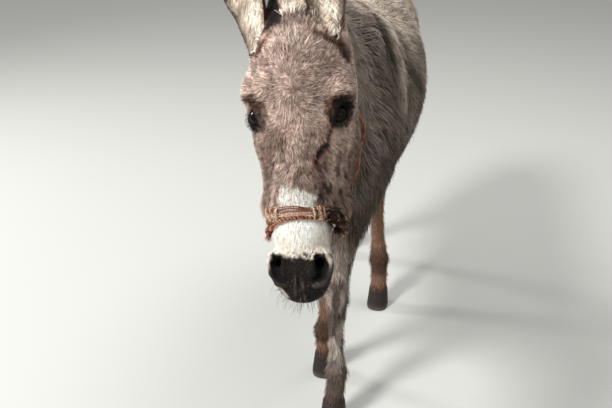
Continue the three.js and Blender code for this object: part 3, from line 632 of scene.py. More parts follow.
def faceTint(p, q, fine):
    # pinkish grey with darker flecks, browner low on the left cheek (partly painted shade) and beside the
    # bridge
    x, back, down = q.T
    w = mirrored(q)
    f = np.tile(tint["face"], (len(p), 1))
    f = toward(f, "forehead", smooth(160 - down, 0, 60) * 0.7)
    f = toward(f, "faceGrey", smooth(back, 60, 105) * 0.7 + patches(p, 26, 8, 0.5, 0.8) * 0.45)
    f = toward(f, "faceGrey", patches(p, 9, 9, 0.55, 0.8) * 0.5)
    f = toward(f, "earRoot", patches(p * [1, 1, 0.6], 4, 10, 0.62, 0.85) * 0.5)
    # low on the left side greyer, with dark flecks: partly its own hair, partly painted shade of that side
    lowLeft = smooth(down + 30 * (fine - 0.5), 195, 265) * smooth(x + 26 * (fine - 0.5), -4, 40)
    f = toward(f, "faceGrey", lowLeft * 0.55)
    cheekLit = smooth(x, 42, 60) * smooth(down, 175, 215) * fall(down, 272, 300) * fall(back, 60, 90)
    f = toward(f, "face", cheekLit * 0.75)
    f = toward(f, "eyeDark", lowLeft * patches(p * [1, 1, 0.35], 6, 15, 0.5, 0.7) * 0.85)
    f = toward(f, "faceGrey", nearLine(q, [-52, 16, 200], [-66, 50, 300], 30) * 0.75)
    bands = patches(p * [0.4, 0.4, 1], 12, 18, 0.5, 0.75)
    f = toward(f, "faceGrey", bands * smooth(130 - down, 0, 60) * 0.5)
    f = toward(f, "earRoot", nearLine(w, [0, 20, 90], [20, 14, 60], 26) * 0.3)
    f = toward(f, "faceGrey", nearLine(w, [26, 0, 190], [34, 4, 285], 20) * 0.6)
    f = toward(f, "earRoot", nearLine(q, [2, 0, 250], [26, 4, 236], 12) * 0.6)
    streaks = patches(p * [1, 1, 0.4], 8, 34, 0.3, 0.6)
    f = toward(f, "earRoot", nearLine(q, [-6, 2, 246], [6, 3, 270], 24) * streaks * 0.6)
    f = toward(f, "earRoot", nearLine(q, [40, 14, 236], [52, 24, 318], 14) * 0.6)
    f = toward(f, "earRoot", nearLine(w, [44, 14, 262], [50, 24, 326], 12) * 0.4)
    f = toward(f, "rust", nearLine(w, [55, 8, 182], [50, 8, 236], 13) * 0.5)
    # dark line of old tears below each eye, longer on the left
    f = toward(f, "rust", fall(tearLine(q) + 6 * (fine - 0.5), 4, 12) * 0.25)
    f = toward(f, "eyeDark", fall(tearLine(q) + 4 * (cloud(p, 6, 28) - 0.5), 0, 4) * 0.97)
    return toward(f, "faceGrey", nearLine(q, [-64, 18, 178], [-58, 20, 205], 9) * 0.9)


def earFootTint(f, p, q, fine):
    # painted shadow and dark hair between the ears, their crest painted pale as lit, dark round their feet
    # with painted shadow at the left one's front, cream in the cups
    w, ragged = mirrored(q), cloud(p, 5, 26) - 0.5
    f = toward(f, "rust", nearLine(w, [36, 30, 14], [66, 26, 36], 22) * 0.12)
    f = toward(f, "faceGrey", nearLine(q, [-30, 12, -8], [22, 4, -12], 26) * 0.75)
    parting = limb(q, [2, -2, -12, 4, 1], [4, 8, -22, 3, 1])
    f = toward(f, "earBlackAndShadow", fall(parting + 5 * (fine - 0.5), 0, 5) * 0.8)
    tufted = patches(p, 6, 27, 0.45, 0.65)
    f = toward(f, "earRoot", nearLine(q, [-32, 10, -6], [20, 4, -6], 18) * tufted * 0.85)
    f = toward(f, "earRoot", nearLine(w, [0, 40, -12], [34, 34, -10], 16) * 0.6)
    # painted light: the crest between the ears made paler, as lit from above
    f = toward(f, "earIn", fall(np.abs(q[:, 0] + 6), 20, 28) * smooth(-q[:, 2], 20, 30) * 0.75)
    # painted shadow beside the forelock, down to the ears' feet
    f = toward(f, "earBlackAndShadow", shadowAndTuftByEars(q) * 0.98)
    edge = np.minimum(
        chain(q, [[-41, 15, 2, 4, 1], [-57, 17, 28, 4, 1], [-70, 24, 50, 4, 1]], 3),
        chain(q, [[19, 4, -10, 3, 1], [34, -2, 14, 3, 1], [56, 10, 28, 3, 1], [84, 34, 44, 4, 1],
                  [92, 44, 66, 3, 1]], 3),
    )
    f = toward(f, "rust", fall(edge + 6 * (fine - 0.5), 3, 9) * 0.25)
    f = toward(f, "earRoot", fall(edge + 5 * ragged, 1.5, 6) * 0.95)
    # painted shadow at the front of the left ear's foot
    notch = limb(q, [80, 32, 46, 6, 1], [88, 36, 62, 5, 1])
    f = toward(f, "earBlackAndShadow", fall(notch + 9 * ragged, 0, 6) * 0.9)
    f = toward(f, "earRoot", nearLine(q, [70, 20, 30], [92, 46, 52], 22) * 0.8)
    concha = np.minimum(conchaHollow(p, 1), conchaHollow(p, -1))
    f = toward(f, "rust", fall(concha, 4, 12) * 0.15)
    f = toward(f, "earRoot", fall(concha + 5 * (fine - 0.5), 3, 9) * 0.85)
    return toward(f, "earIn", fall(concha, 0, 2))


def socketTint(f, p, q, fine):
    # dark round the eyes, and brown up to the fold under each brow; the left socket darker still by painted
    # shadow under its brow
    ragged = 8 * (cloud(p, 4.5, 16) - 0.5) + 8 * (fine - 0.5)
    eyeNear = eyeDistance(p)
    f = toward(f, "rust", nearLine(mirrored(q), [58, 8, 142], [78, 14, 136], 16) * 0.5)
    under = 1 - smooth(q[:, 2], 154, 164) * (q[:, 0] > 0)
    f = toward(f, "earRoot", fall(eyeNear + ragged, 24, 33) * 0.7 * under)
    rightSocket = limb(q, [-62, 8, 136, 6, 1], [-90, 22, 140, 8, 1])
    f = toward(f, "earRoot", fall(rightSocket + ragged, 0, 8) * 0.85)
    # dark line along the fold under the right brow, partly painted shade in the crease
    rightFold = chain(q, [
        [-60, 6, 134, 3, 1], [-70, 8, 128, 4.5, 1], [-80, 12, 128, 5, 1], [-94, 24, 136, 4, 1],
    ], 2)
    f = toward(f, "eyeDark", fall(rightFold + ragged * 0.5, 0, 5) * 0.8)
    f = toward(f, "eyeDark", fall(eyeNear + ragged * 0.5, 20, 25))
    # painted shadow filling the left socket under the brow
    leftSocketShadow = np.sqrt((((q - [82, 22, 146]) / [25, 42, 20]) ** 2).sum(1))
    f = toward(f, "earRoot", fall(leftSocketShadow + ragged / 16, 1.05, 1.25) * 0.7)
    return toward(f, "eyeDark", fall(leftSocketShadow + ragged / 9, 0.75, 1.15) * 0.97)


def noseTint(f, p, q, fine):
    # white nose with a blaze up the bridge, then the dark nostrils and lips
    x, back, down = q.T
    across, w = np.abs(x), mirrored(q)
    blaze = 31 + 58 * smooth(down, 312, 350)
    wobble = 10 * (fine - 0.5) + 12 * (cloud(p * [1, 1, 0.5], 5, 12) - 0.5)
    slant = 14 * smooth(x, -10, 34)
    white = fall(np.abs(x - 1) + wobble, blaze - 4, blaze + 4) * smooth(down + wobble - slant, 276, 288)
    f = toward(f, "white", white * (1 - 0.75 * smooth(back, 66, 104)))
    f = toward(f, "nosePale", patches(p, 6, 11, 0.8, 0.9) * smooth(down, 335, 350) * 0.8)
    f = toward(f, "rim", patches(p, 30, 13, 0.45, 0.8) * smooth(down, 350, 385) * 0.4)
    f = toward(f, "earIn", smooth(down + 20 * (fine - 0.5), 358, 388) * 0.55)
    # painted shade down the left side of the nose, and darker still round the knot there
    f = toward(f, "faceGrey", nearLine(q, [52, 44, 336], [58, 66, 400], 22) * 0.75)
    f = toward(f, "earRoot", nearLine(q, [48, 34, 330], [58, 62, 356], 13) * 0.7)
    # dark nose and lips, paler between and round the nostrils
    mottle = 14 * (fine - 0.5) + 16 * (cloud(p, 4, 14) - 0.5)
    dark = smooth(down + mottle, 389, 403) * (1 - smooth(back, 40, 58) * fall(down, 446, 462))
    f = toward(f, "nose", dark)
    folds = np.sin(x * 0.9 + 5 * cloud(p, 14, 29)) * fall(across, 6, 13) * smooth(down, 422, 436)
    f = toward(f, "nosePale", smooth(folds + 0.8 * (fine - 0.5), 0.2, 1.2) * 0.4)
    f = toward(f, "rim", nearLine(q, [-40, 27, 448], [-28, 32, 468], 9) * 0.8)
    rim = fall(chain(w, nostrilRim, 6), -0.5, 2.5)
    f = toward(f, "rim", rim * fall(down, 410, 426) * smooth(across, 43, 49) * 0.95)
    f = toward(f, "nosePale", rim * smooth(down, 408, 424) * np.where(x > 0, 0.3, 0.12))
    # inside the nostrils: their dark lining with painted shade of the hollow; the mouth's line painted
    # black as shade in the crease
    holes = np.minimum(chain(w, nostril, 6), limb(w, *nostrilDepth))
    f = toward(f, "nostril", fall(holes, 1.5, 5))
    return toward(f, "nostril", fall(chain(w, mouthLine, 3), 0.2, 2.5))


def markings(p):
    # the tints of body, legs, tail and head at any points, each mixed in where its part begins
    q = toHead(p)
    y, z = p[:, 1], p[:, 2]
    patch, fine = cloud(p, 70, 3), cloud(p, 16, 5)
    lower = fall(z + 30 * (fine - 0.5), 430, 610)
    lower *= 1 - smooth(y, 105, 150) * fall(y, 520, 580) * smooth(z, 490, 530)
    c = mix(bodyTint(p, patch, fine), legTint(p, patch, fine), lower[:, None])
    onTail = smooth(y, 900, 930)
    c = toward(c, "tail", onTail * fall(z, 640, 860))
    c = toward(c, "stripe", onTail * fall(z + 60 * (fine - 0.5), 500, 680) * 0.8)
    f = faceTint(p, q, fine)
    for part in (earFootTint, socketTint, noseTint):
        f = part(f, p, q, fine)
    return mix(c, f, headness(q)[:, None])


def earMarkings(p, isInner, outward, share, side):
    # cream within, grey brown outside, a narrow dark edge that widens at the tip and on the inner side
    fine, edge, q = cloud(p, 14, 21), np.abs(outward), p @ headAxes.T
    c = np.where(isInner[:, None], tint["earIn"], tint["earOut"])
    nearHead = smooth(-outward + 0.2 * (fine - 0.5), 0.84, 1.0) * isInner
    c = toward(c, "rust", nearHead * 0.75)
    # painted shadow low on the outer face, on the side towards the head
    c = toward(c, "earBlackAndShadow", ~isInner * smooth(-outward, -0.1, 0.3) * fall(share, 0.3, 0.5) * 0.97)
    # skin and thin hair between the long streaks, and a dark patch in the right ear
    c = toward(c, "rust", patches(q * [1, 1, 0.3], 8, 24, 0.55, 0.8) * isInner * 0.3)
    c = toward(c, "earRoot", patches(q * [1, 1, 0.25], 5, 25, 0.68, 0.85) * isInner * 0.55)
    spot = patches(p, 11, 23, 0.56, 0.7) * smooth(share, 0.08, 0.14) * fall(share, 0.26, 0.34)
    spot = spot * smooth(outward, 0.15, 0.4) * isInner * (0.9 if side < 0 else 0.1)
    c = toward(c, "earBlackAndShadow", spot)
    outer = smooth(outward + 0.2 * (fine - 0.5), 0.85, 0.98) * fall(share, 0.25, 0.4)
    c = toward(c, "earBlackAndShadow", outer * isInner * 0.85 * (side > 0))
    rim = np.where(isInner, smooth(edge, 0.95, 1.0) * 0.85, smooth(edge, 0.85, 0.96))
    c = toward(c, "earEdge", (rim + smooth(share, 0.86, 0.97)) * 0.9)
    return toward(c, "earEdge", patches(p, 9, 22, 0.72, 0.9) * fall(share, -0.1, 0.05) * 0.6)


# Meshes from arrays

def toFrame(p):  # mm in the body's axes to metres in the frame's
    return (np.asarray(p) + shift) / 1000


def makeMesh(name, verts, faces, tintArray=None, uv=None, normals=None):
    # one smooth mesh, its points in mm; faces: an array of equal polygons, or a list of such arrays
    groups = faces if isinstance(faces, list) else [faces]
    loops = np.concatenate([g.ravel() for g in groups]).astype(np.int32)
    sizes = np.concatenate([np.full(len(g), g.shape[1]) for g in groups])
    starts = np.concatenate([[0], np.cumsum(sizes)[:-1]]).astype(np.int32)
    mesh = bpy.data.meshes.new(name)
    mesh.vertices.add(len(verts))
    mesh.vertices.foreach_set("co", toFrame(verts).astype(np.float32).ravel())
    mesh.loops.add(len(loops))
    mesh.loops.foreach_set("vertex_index", loops)
    mesh.polygons.add(len(starts))
    mesh.polygons.foreach_set("loop_start", starts)
    mesh.polygons.foreach_set("use_smooth", np.ones(len(starts), bool))
    if uv is not None:
        layer = mesh.uv_layers.new(name="OFBake")
        layer.data.foreach_set("uv", uv.astype(np.float32).ravel())
    mesh.update(calc_edges=True)
    if tintArray is not None:
        layer = mesh.attributes.new("tint", "FLOAT_COLOR", "POINT")
        rgba = np.column_stack([tintArray, np.ones(len(verts))])
        layer.data.foreach_set("color", rgba.astype(np.float32).ravel())
    mesh.validate()
    if normals is not None:
        mesh.normals_split_custom_set_from_vertices(normals)
    made = bpy.data.objects.new(name, mesh)
    bpy.context.scene.collection.objects.link(made)
    return made


def addPiece(made, material, slot, *nodes):  # a finished piece, and the nodes that it stands for
    made.data.materials.append(material)
    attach(made, "root")
    if nodes:
        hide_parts(*nodes)
    return made


def node(tree, kind, links=None, **values):
    # one node: socket values by index or name in `links` as numbers or as another node's output
    made = tree.nodes.new(kind)
    for name, value in values.items():
        setattr(made, name, value)
    for socket, value in (links or {}).items():
        if isinstance(value, bpy.types.NodeSocket):
            tree.links.new(value, made.inputs[socket])
        else:
            made.inputs[socket].default_value = value
    return made


def newMaterial(name):  # an empty material, its tree and its shader
    material = bpy.data.materials.new(name)
    material.use_nodes = True
    return material, material.node_tree, material.node_tree.nodes["Principled BSDF"]


def rgba(colour):  # sRGB hex to a socket's colour
    return (*linear(colour), 1)


def coatMaterial(name, streak, strength, rough):
    # winter coat of a donkey: dull hair with no gloss, streaked where hairs lie side by side;
    # `streak` is the width of a lock in mm
    material, tree, shader = newMaterial(name)
    colour = node(tree, "ShaderNodeAttribute", attribute_name="tint")
    place = node(tree, "ShaderNodeTexCoord")
    stretch = node(tree, "ShaderNodeMapping", {0: place.outputs["Object"]})
    stretch.inputs["Scale"].default_value = (1, 1, 0.3)
    grain = node(tree, "ShaderNodeTexNoise", {"Vector": stretch.outputs[0], "Scale": 1000 / streak,
                                              "Detail": 3.0, "Roughness": 0.6})
    shade = node(tree, "ShaderNodeMapRange", {0: grain.outputs[0], 1: 0.3, 2: 0.7, 3: 0.78, 4: 1.2})
    mixed = node(tree, "ShaderNodeMix", {0: 1.0, 6: colour.outputs["Color"], 7: shade.outputs[0]},
                 data_type="RGBA", blend_type="MULTIPLY")
    tree.links.new(mixed.outputs[2], shader.inputs["Base Color"])
    bump = node(tree, "ShaderNodeBump", {"Strength": strength, "Distance": 0.002,
                                         "Height": grain.outputs[0]})
    tree.links.new(bump.outputs[0], shader.inputs["Normal"])
    shader.inputs["Roughness"].default_value = rough
    shader.inputs["Specular IOR Level"].default_value = 0.18
    return material


skinMaterial = coatMaterial("hairedHide", 2.4, 0.7, 0.85)
hairMaterial = coatMaterial("winterCoatHair", 3.5, 0.15, 0.72)

# One skin, with the ears let into the head
# the skin under the hair darkened as painted shade, less on the white nose
onNose = headness(toHead(skinVerts)) * smooth(toHead(skinVerts)[:, 2], 284, 300)
verts, faces, colours = [skinVerts], [skinQuads], [markings(skinVerts) * mix(0.62, 0.95, onNose)[:, None]]
earParts, offset = {}, len(skinVerts)
for side in (1, -1):
    v, quads, isInner, outward, share = earSurface(side)
    c = earMarkings(v, isInner, outward, share, side)
    earParts[side] = (v, quads, isInner, np.abs(outward), share, c)
    # both ends are closed by a fan round a middle point
    count, last = 38, len(v)  # points in a ring of earSurface, and in all its rings
    here, ahead = np.arange(count), (np.arange(count) + 1) % count
    ends = [
        np.column_stack([np.full(count, last), ahead, here]),
        np.column_stack([np.full(count, last + 1), last - count + here, last - count + ahead]),
    ]
    verts.append(np.vstack([v, v[:count].mean(0), v[-count:].mean(0)]))
    # the ears' skin a little darker, as painted shade under their hair
    colours.append(np.vstack([c, c[0], c[-1]]) * 0.9)
    faces.append(quads + offset)
    faces.extend(e + offset for e in ends)
    offset += last + 2
skin = makeMesh("skin", np.vstack(verts), faces, np.vstack(colours))
legNodes = [f"leg_{leg}_{part}" for leg in legs for part in ("upper", "lower")]
addPiece(skin, skinMaterial, "coat", "trunk", "tail", "neck", "head", "ear_left", "ear_right", *legNodes)
print("skin done")


# Tufts: each a thin closed spike on a bent line from its root, with its tip drawn to its lock

def unwrap(p, n, low, high):
    # six tiles, one for each way that the skin faces most, with the two other axes laid out on it
    main = np.argmax(np.abs(n), axis=1)
    tile = main * 2 + (n[np.arange(len(n)), main] > 0)
    share = (p - low) / np.maximum(high - low, 1)
    u = np.choose(main, [share[:, 1], share[:, 0], share[:, 0]])
    v = np.choose(main, [share[:, 2], share[:, 2], share[:, 1]])
    return np.column_stack([(tile % 3 + 0.03 + 0.93 * u) / 3, (tile // 3 + 0.03 + 0.93 * v) / 2])


def gather(root, tip, size, pull):
    # hairs whose roots share a cell of a wavy lattice lean their tips together
    warp = np.column_stack([cloud(root, size * 2, s) for s in (31, 32, 33)]) * size * 1.5
    cell = np.floor((root + warp) / size).astype(np.int64)
    _, index = np.unique(cell @ np.array([1, 4096, 4096 * 4096]), return_inverse=True)
    count = np.bincount(index)
    middle = np.column_stack([np.bincount(index, tip[:, k]) / count for k in range(3)])[index]
    return mix(tip, middle, pull), index


def tuftPiece(name, root, normal, flow, length, height, width, colour, rings=2, lock=0, pull=0.0,
              rootDarkAndShade=0.62, tipShade=1.12, slot="coat", sag=0.0, vary=0.3, flecks=0.0):
    # line: the curve from the root over a high middle point to the tip; section: a low triangle;
    # colour: an array, or a function of place that is looked up under each ring of the tuft
    n = unit(normal)
    lie = unit(flow - (flow * n).sum(1, keepdims=True) * n)
    count = len(root)
    height = np.minimum(height, length * 0.96)
    reach = np.sqrt(np.maximum(length ** 2 - height ** 2, 0))
    tip = root + lie * reach[:, None] + n * height[:, None]
    tip[:, 2] -= np.asarray(sag) * length
    lightness = np.exp(rng.normal(0, 0.6, count) * vary)
    lightness *= np.where(rng.random(count) < flecks, 0.34, 1)  # dark hairs among the pale
    if lock:
        tip, index = gather(root, tip, lock, pull)
        lightness *= np.exp(rng.normal(0, 0.42, index.max() + 1)[index] * vary)
    lightness = np.minimum(lightness, 1.5)
    high = root + lie * (reach * 0.36)[:, None] + n * (height * 0.98)[:, None]
    start = root - n * 1.5
    t = np.linspace(0, 1, rings + 1)[:-1]
    verts = np.empty((count, rings * 3 + 1, 3))
    facing = np.empty((count, rings * 3 + 1, 3))
    shades = np.empty((count, rings * 3 + 1))
    aside = np.cross(n, lie)
    for i, s in enumerate(t):
        middle = (1 - s) ** 2 * start + 2 * s * (1 - s) * high + s * s * tip
        w = (width * (1 - s ** 1.6) * (0.75 if i == 0 else 1))[:, None]
        verts[:, i * 3] = middle + aside * w
        verts[:, i * 3 + 1] = middle + n * w * 0.7
        verts[:, i * 3 + 2] = middle - aside * w
        # each ring darker towards the root and paler to the tip: partly the hair's own colour, partly
        # painted shade deep in the coat
        shades[:, i * 3:i * 3 + 3] = np.reshape(mix(rootDarkAndShade, tipShade, min(1, s * 1.3)), (-1, 1))
        # hair is lit as the body under it is, a little rounded from side to side
        facing[:, i * 3], facing[:, i * 3 + 1], facing[:, i * 3 + 2] = n + aside * 0.5, n, n - aside * 0.5
    verts[:, -1] = tip
    facing[:, -1] = n + lie * 0.3
    shades[:, -1] = tipShade
    per = rings * 3 + 1
    one = [[0, 2, 1]]
    for i in range(rings - 1):
        for a, b in ((0, 1), (1, 2), (2, 0)):
            one += [[i * 3 + a, i * 3 + b, i * 3 + 3 + b], [i * 3 + a, i * 3 + 3 + b, i * 3 + 3 + a]]
    top = (rings - 1) * 3
    one += [[top, top + 1, per - 1], [top + 1, top + 2, per - 1], [top + 2, top, per - 1]]
    one = np.array(one)
    faces = (one[None] + (np.arange(count) * per)[:, None, None]).reshape(-1, 3)
    # each tuft is a small patch at its root's place on the unwrap
    patch = np.column_stack([np.tile([0.0, 0.5, 1.0], rings), np.repeat(t, 3)])
    patch = np.vstack([patch, [0.5, 1.0]]) * 0.003
    uvVerts = unwrap(root, n, root.min(0), root.max(0))[:, None, :] + patch[None]
    uv = uvVerts.reshape(-1, 2)[faces.ravel()]
    if callable(colour):  # markings stay sharp on long hair
        shown = np.stack([colour(root + lie * (reach * s)[:, None]) for s in [*t, 0.92]], axis=1)
        shown = np.repeat(shown, [3] * rings + [1], axis=1)
    else:
        shown = colour[:, None, :]
    rgb = shown * (lightness[:, None] * shades)[..., None]
    made = makeMesh(name, verts.reshape(-1, 3), faces, np.clip(rgb, 0, 1).reshape(-1, 3), uv,
                    unit(facing).reshape(-1, 3))
    addPiece(made, hairMaterial, slot)
    return count * len(one)


def crossed(corners):  # each triangle's normal, as long as twice its area
    return np.cross(corners[:, 1] - corners[:, 0], corners[:, 2] - corners[:, 0])


def spreadOver(corners, weight, count):
    # places spread evenly over triangles, by equal steps along the running sum of area times weight:
    # the triangle that holds each, and the shares of its three corners
    total = np.cumsum(np.linalg.norm(crossed(corners), axis=1) * weight)
    pick = (np.arange(count) + rng.random(count)) / count * total[-1]
    tri = np.minimum(np.searchsorted(total, pick), len(corners) - 1)
    a, b = rng.random(count), rng.random(count)
    over = a + b > 1
    a[over], b[over] = 1 - a[over], 1 - b[over]
    return tri, np.column_stack([1 - a - b, a, b])[:, :, None]


def scatter(weight, count):  # roots on the skin and their normals
    tri, share = spreadOver(corners, weight, count)
    return (corners[tri] * share).sum(1), unit((cornerNormals[tri] * share).sum(1))


coat = {
    "bodyTufts": 70000, "bodyLength": 44, "bodyWidth": 1.2,
    "headTufts": 48000, "headLength": 9.5, "headWidth": 0.45,
    "legTufts": 13000, "legLength": 19, "legWidth": 0.75,
    "earTufts": 10000, "maneHairs": 2400, "tailHairs": 1500,
}

triangles = np.concatenate([skinQuads[:, [0, 1, 2]], skinQuads[:, [0, 2, 3]]])
corners, cornerNormals = skinVerts[triangles], skinSlopes[triangles]
centres = corners.mean(1)
centresHead = toHead(centres)
onHead = headness(centresHead)
whorl = np.array([0, -30, 118.0])  # on the forehead, in the head's axes


def lieOf(p, n):
    # which way the hair lies: down the legs, back and down the trunk, along the shoulder stripe beside
    # it, out from a whorl on the forehead, and swaying a little everywhere
    lower = fall(p[:, 2], 480, 660)
    side = smooth(np.abs(n[:, 0]), 0.3, 0.9)
    front = smooth(-n[:, 1], 0.5, 0.9)
    down = mix(0.45, 0.9, side) + front * 1.2 + lower * 2.2
    flow = np.column_stack([np.zeros(len(p)), mix(0.85, 0.15, lower) * (1 - 0.7 * front), -down])
    beside = fall(stripeDistance(p), 10, 45)[:, None]
    outward, downward = np.array([0.77, -0.63, -0.12]), np.array([0.39, -0.34, -0.86])
    run = mix(outward, downward, smooth(np.abs(p[:, 0]), 84, 106)[:, None])
    flow = mix(unit(flow), run * np.sign(p[:, :1]) ** [1, 0, 0], beside)
    q = toHead(p)
    spread = (q - whorl) * [1.25, 1, 1]
    headFlow = unit(spread) @ headAxes
    h = headness(q)[:, None]
    flow = mix(unit(flow), headFlow, h)
    ruffle = 2.2 * fall(np.abs(q[:, 2] - 80), 90, 150) * (cloud(p, 15, 43) - 0.5)
    ruffle = ruffle + 0.8 * (cloud(p, 7, 44) - 0.5)
    flow = flow + np.cross(n, flow) * ruffle[:, None] * h
    sway = (0.75 * (cloud(p, 55, 41) - 0.5) + 0.35 * (cloud(p, 18, 42) - 0.5))[:, None]
    flow = flow + np.cross(n, flow) * (sway * (1 - 0.8 * beside)) * mix(1.0, 0.8, h)
    return flow + rng.normal(0, 0.1, flow.shape)


def bareness(p):
    # 1 where no tuft grows: the eyes and lids' edge, the nostrils, the mouth, the ears' feet
    q = toHead(p)
    w = mirrored(q)
    bare = fall(chain(w, nostril, 6), 1, 4)
    bare = np.maximum(bare, fall(chain(w, mouthLine, 3), 1, 4))
    for side in (1, -1):
        opening, size = lidOpening(p, side)
        bare = np.maximum(bare, (opening < 3.5) & (size < 40))
        bare = np.maximum(bare, 0.7 * fall(conchaHollow(p, side), 0, 2))
    bare = np.maximum(bare, 0.4 * fall(tearLine(q), 0, 4))
    return np.maximum(bare, 0.6 * shadowAndTuftByEars(q))


def grizzled(colour, amount):  # one hair in four pale where the amount is 1
    some = (rng.random(len(colour)) < 0.25 * amount)[:, None]
    return np.where(some, tint["nosePale"] * 0.6, colour)


def halved(regions, across):  # each region's mask cut into its left and its right half
    return [
        (name + side, mask & half) for name, mask in regions.items()
        for side, half in (("Left", across > 0), ("Right", across <= 0))
    ]


total = 0
areas = np.linalg.norm(crossed(corners), axis=1)
along = centres[:, 1]

# Body: long winter hair, thinner and shorter over the legs, left out at the tail
bodyWeight = (1 - onHead) * smooth(centres[:, 2], 470, 600) * (along < 905)
bodyArea = (areas * bodyWeight).sum()
regions = {"Neck": along < 20, "Flank": (along >= 20) & (along < 470), "Rump": along >= 470}
for name, mask in halved(regions, centres[:, 0]):
    share = (areas * bodyWeight * mask).sum() / bodyArea
    count = min(int(coat["bodyTufts"] * share), 19500)  # 10 triangles each, under 200,000 a piece
    root, n = scatter(bodyWeight * mask, count)
    under = smooth(-n[:, 2], 0.2, 0.8)
    size = coat["bodyLength"] * mix(0.8, 1.15, rng.random(count))
    size *= mix(0.5, 1, smooth(root[:, 2], 480, 620))
    size *= mix(1, 0.6, headness(toHead(root))) * (1 + 0.45 * under)
    size *= mix(0.6, 1, smooth(stripeDistance(root), 10, 30))  # the stripe's hair is short
    size *= mix(1.3, 1, smooth(root[:, 2], 700, 860))
    lie = lieOf(root, n)
    depth = coatDepth(root, toHead(root)) * mix(0.55, 1.06, rng.random(count) ** 0.7) * (1 + 0.45 * under)
    depth *= np.where(rng.random(count) < 0.07, 1.5, 1)
    total += tuftPiece(
        "coat" + name, root, n, lie, size, depth, coat["bodyWidth"] * mix(0.7, 1.2, rng.random(count)),
        markings, lock=15, pull=0.55, sag=0.1 + 0.25 * under,
        vary=0.62, rootDarkAndShade=0.33, tipShade=1.2, flecks=0.14,
    )
print("body coat", total, "triangles so far")

# Head: short hair, shortest on the muzzle and round the eyes
acrossHead, backHead, downHead = centresHead.T
headWeight = onHead * (1 - bareness(centres)) * mix(1, 0.8, smooth(downHead, 395, 410))
headWeight = headWeight * (1 + 0.5 * (backHead < 60))
for name, mask in halved({"Brow": downHead < 165, "Face": downHead >= 165}, acrossHead):
    count = int(coat["headTufts"] * (areas * headWeight * mask).sum() / (areas * headWeight).sum())
    root, n = scatter(headWeight * mask, count)
    q = toHead(root)
    muzzle, pale = smooth(q[:, 2], 380, 415), smooth(q[:, 2], 270, 350)
    size = coat["headLength"] * mix(0.75, 1.2, rng.random(count)) * mix(1, 0.3, muzzle)
    size *= mix(0.45, 1, smooth(eyeDistance(root), 22, 44)) * mix(1, 1.7, smooth(q[:, 1], 90, 150))
    depth = np.minimum(body["faceCoatDepth"] * mix(0.4, 0.9, rng.random(count)), size * 0.4)
    # cheek hair hangs over the sides of the noseband
    over = smooth(q[:, 2], 282, 296) * fall(q[:, 2], 320, 326)
    over = over * smooth(q[:, 1] + np.abs(q[:, 0]) * 0.5, 34, 54)
    size, depth = mix(size, 30 * mix(0.6, 1.1, rng.random(count)), over), mix(depth, 9.5, over)
    # a brow of longer hair over each eye
    fromBrow = np.linalg.norm((q - [0, 12, 126]) * [0, 1, 1], axis=1)
    brow = fall(fromBrow, 6, 14) * smooth(np.abs(q[:, 0]), 52, 60)
    size, depth = mix(size, 15, brow), mix(depth, 6.5, brow)
    lie = lieOf(root, n)
    cheek = smooth(q[:, 0], 26, 48) * smooth(q[:, 2], 160, 200) * fall(q[:, 2], 290, 320)
    total += tuftPiece(
        "coat" + name, root, n, lie, size, depth,
        coat["headWidth"] * mix(0.75, 1.25, rng.random(count)) * mix(1, 0.6, muzzle),
        grizzled(markings(root + unit(lie) * size[:, None] * 0.5), muzzle), lock=7, pull=0.4, slot="face",
        rootDarkAndShade=mix(0.26, 1.0, pale), tipShade=mix(1.3, 1.2, pale),
        vary=mix(0.66, 0.08, pale * (1 - muzzle)) + 0.3 * muzzle,
        flecks=mix(0.22, 0.02, pale) + 0.16 * cheek,
    )
print("head coat", total, "triangles so far")

# Legs: short hair down to the hooves
legWeight = (1 - onHead) * fall(centres[:, 2], 470, 600) * (centres[:, 2] > 58) * (along < 905)
count = coat["legTufts"]
root, n = scatter(legWeight, count)
size = coat["legLength"] * mix(0.75, 1.25, rng.random(count)) * mix(1, 1.5, smooth(root[:, 2], 380, 500))
depth = body["legCoatDepth"] * mix(0.5, 1.3, rng.random(count) ** 2)
total += tuftPiece(
    "coatLegs", root, n, lieOf(root, n), size, depth, coat["legWidth"] * mix(0.75, 1.3, rng.random(count)),
    markings(root), lock=9, pull=0.45, slot="leg", vary=0.45, rootDarkAndShade=0.42, tipShade=1.18, flecks=0.06,
)
print("leg coat", total, "triangles so far")

# Ears: short hair outside, long pale hair within, standing across the cup
for side, label in bothSides:
    v, quads, isInner, edge, share, c = earParts[side]
    foot, along, opening, aside = earFrame(side)
    tri = np.concatenate([quads[:, [0, 1, 2]], quads[:, [0, 2, 3]]])
    n, within = unit(crossed(v[tri])), isInner[tri].all(1)
    weight = (share[tri].mean(1) > -0.28) * np.where(within, 1.0, 0.8)
    count = coat["earTufts"] // 2
    on, parts = spreadOver(v[tri], weight, count)
    root, colour = ((values[tri[on]] * parts).sum(1) for values in (v, c))
    edgeAt, shareAt = ((values[tri[on]] * parts[:, :, 0]).sum(1) for values in (edge, share))
    inner = within[on]
    sideways = ((root - foot) @ aside)[:, None] * aside
    flow = along * np.where(inner, 0.8, 1.0)[:, None] - unit(sideways) * np.where(inner, 0.7, 0.0)[:, None]
    flow += rng.normal(0, 0.07, flow.shape)
    streaks = 30 * mix(0.6, 1.2, rng.random(count)) * mix(1, 0.45, smooth(shareAt, 0.4, 0.95))
    length = np.where(inner, streaks, 9)
    length *= mix(0.35, 1, smooth(shareAt, -0.3, -0.05))
    length = length * mix(0.6, 1, smooth(1 - edgeAt, 0, 0.3) + 0.4)
    height = np.where(inner, length * 0.4, 2.2)
    total += tuftPiece(
        "coatEar" + label, root, n[on], flow, length, height, 0.75 * mix(0.7, 1.2, rng.random(count)),
        colour, lock=9, pull=0.35, slot="face", rootDarkAndShade=np.where(inner, 0.68, 0.4), tipShade=1.22,
        vary=0.42, flecks=0.03,
    )

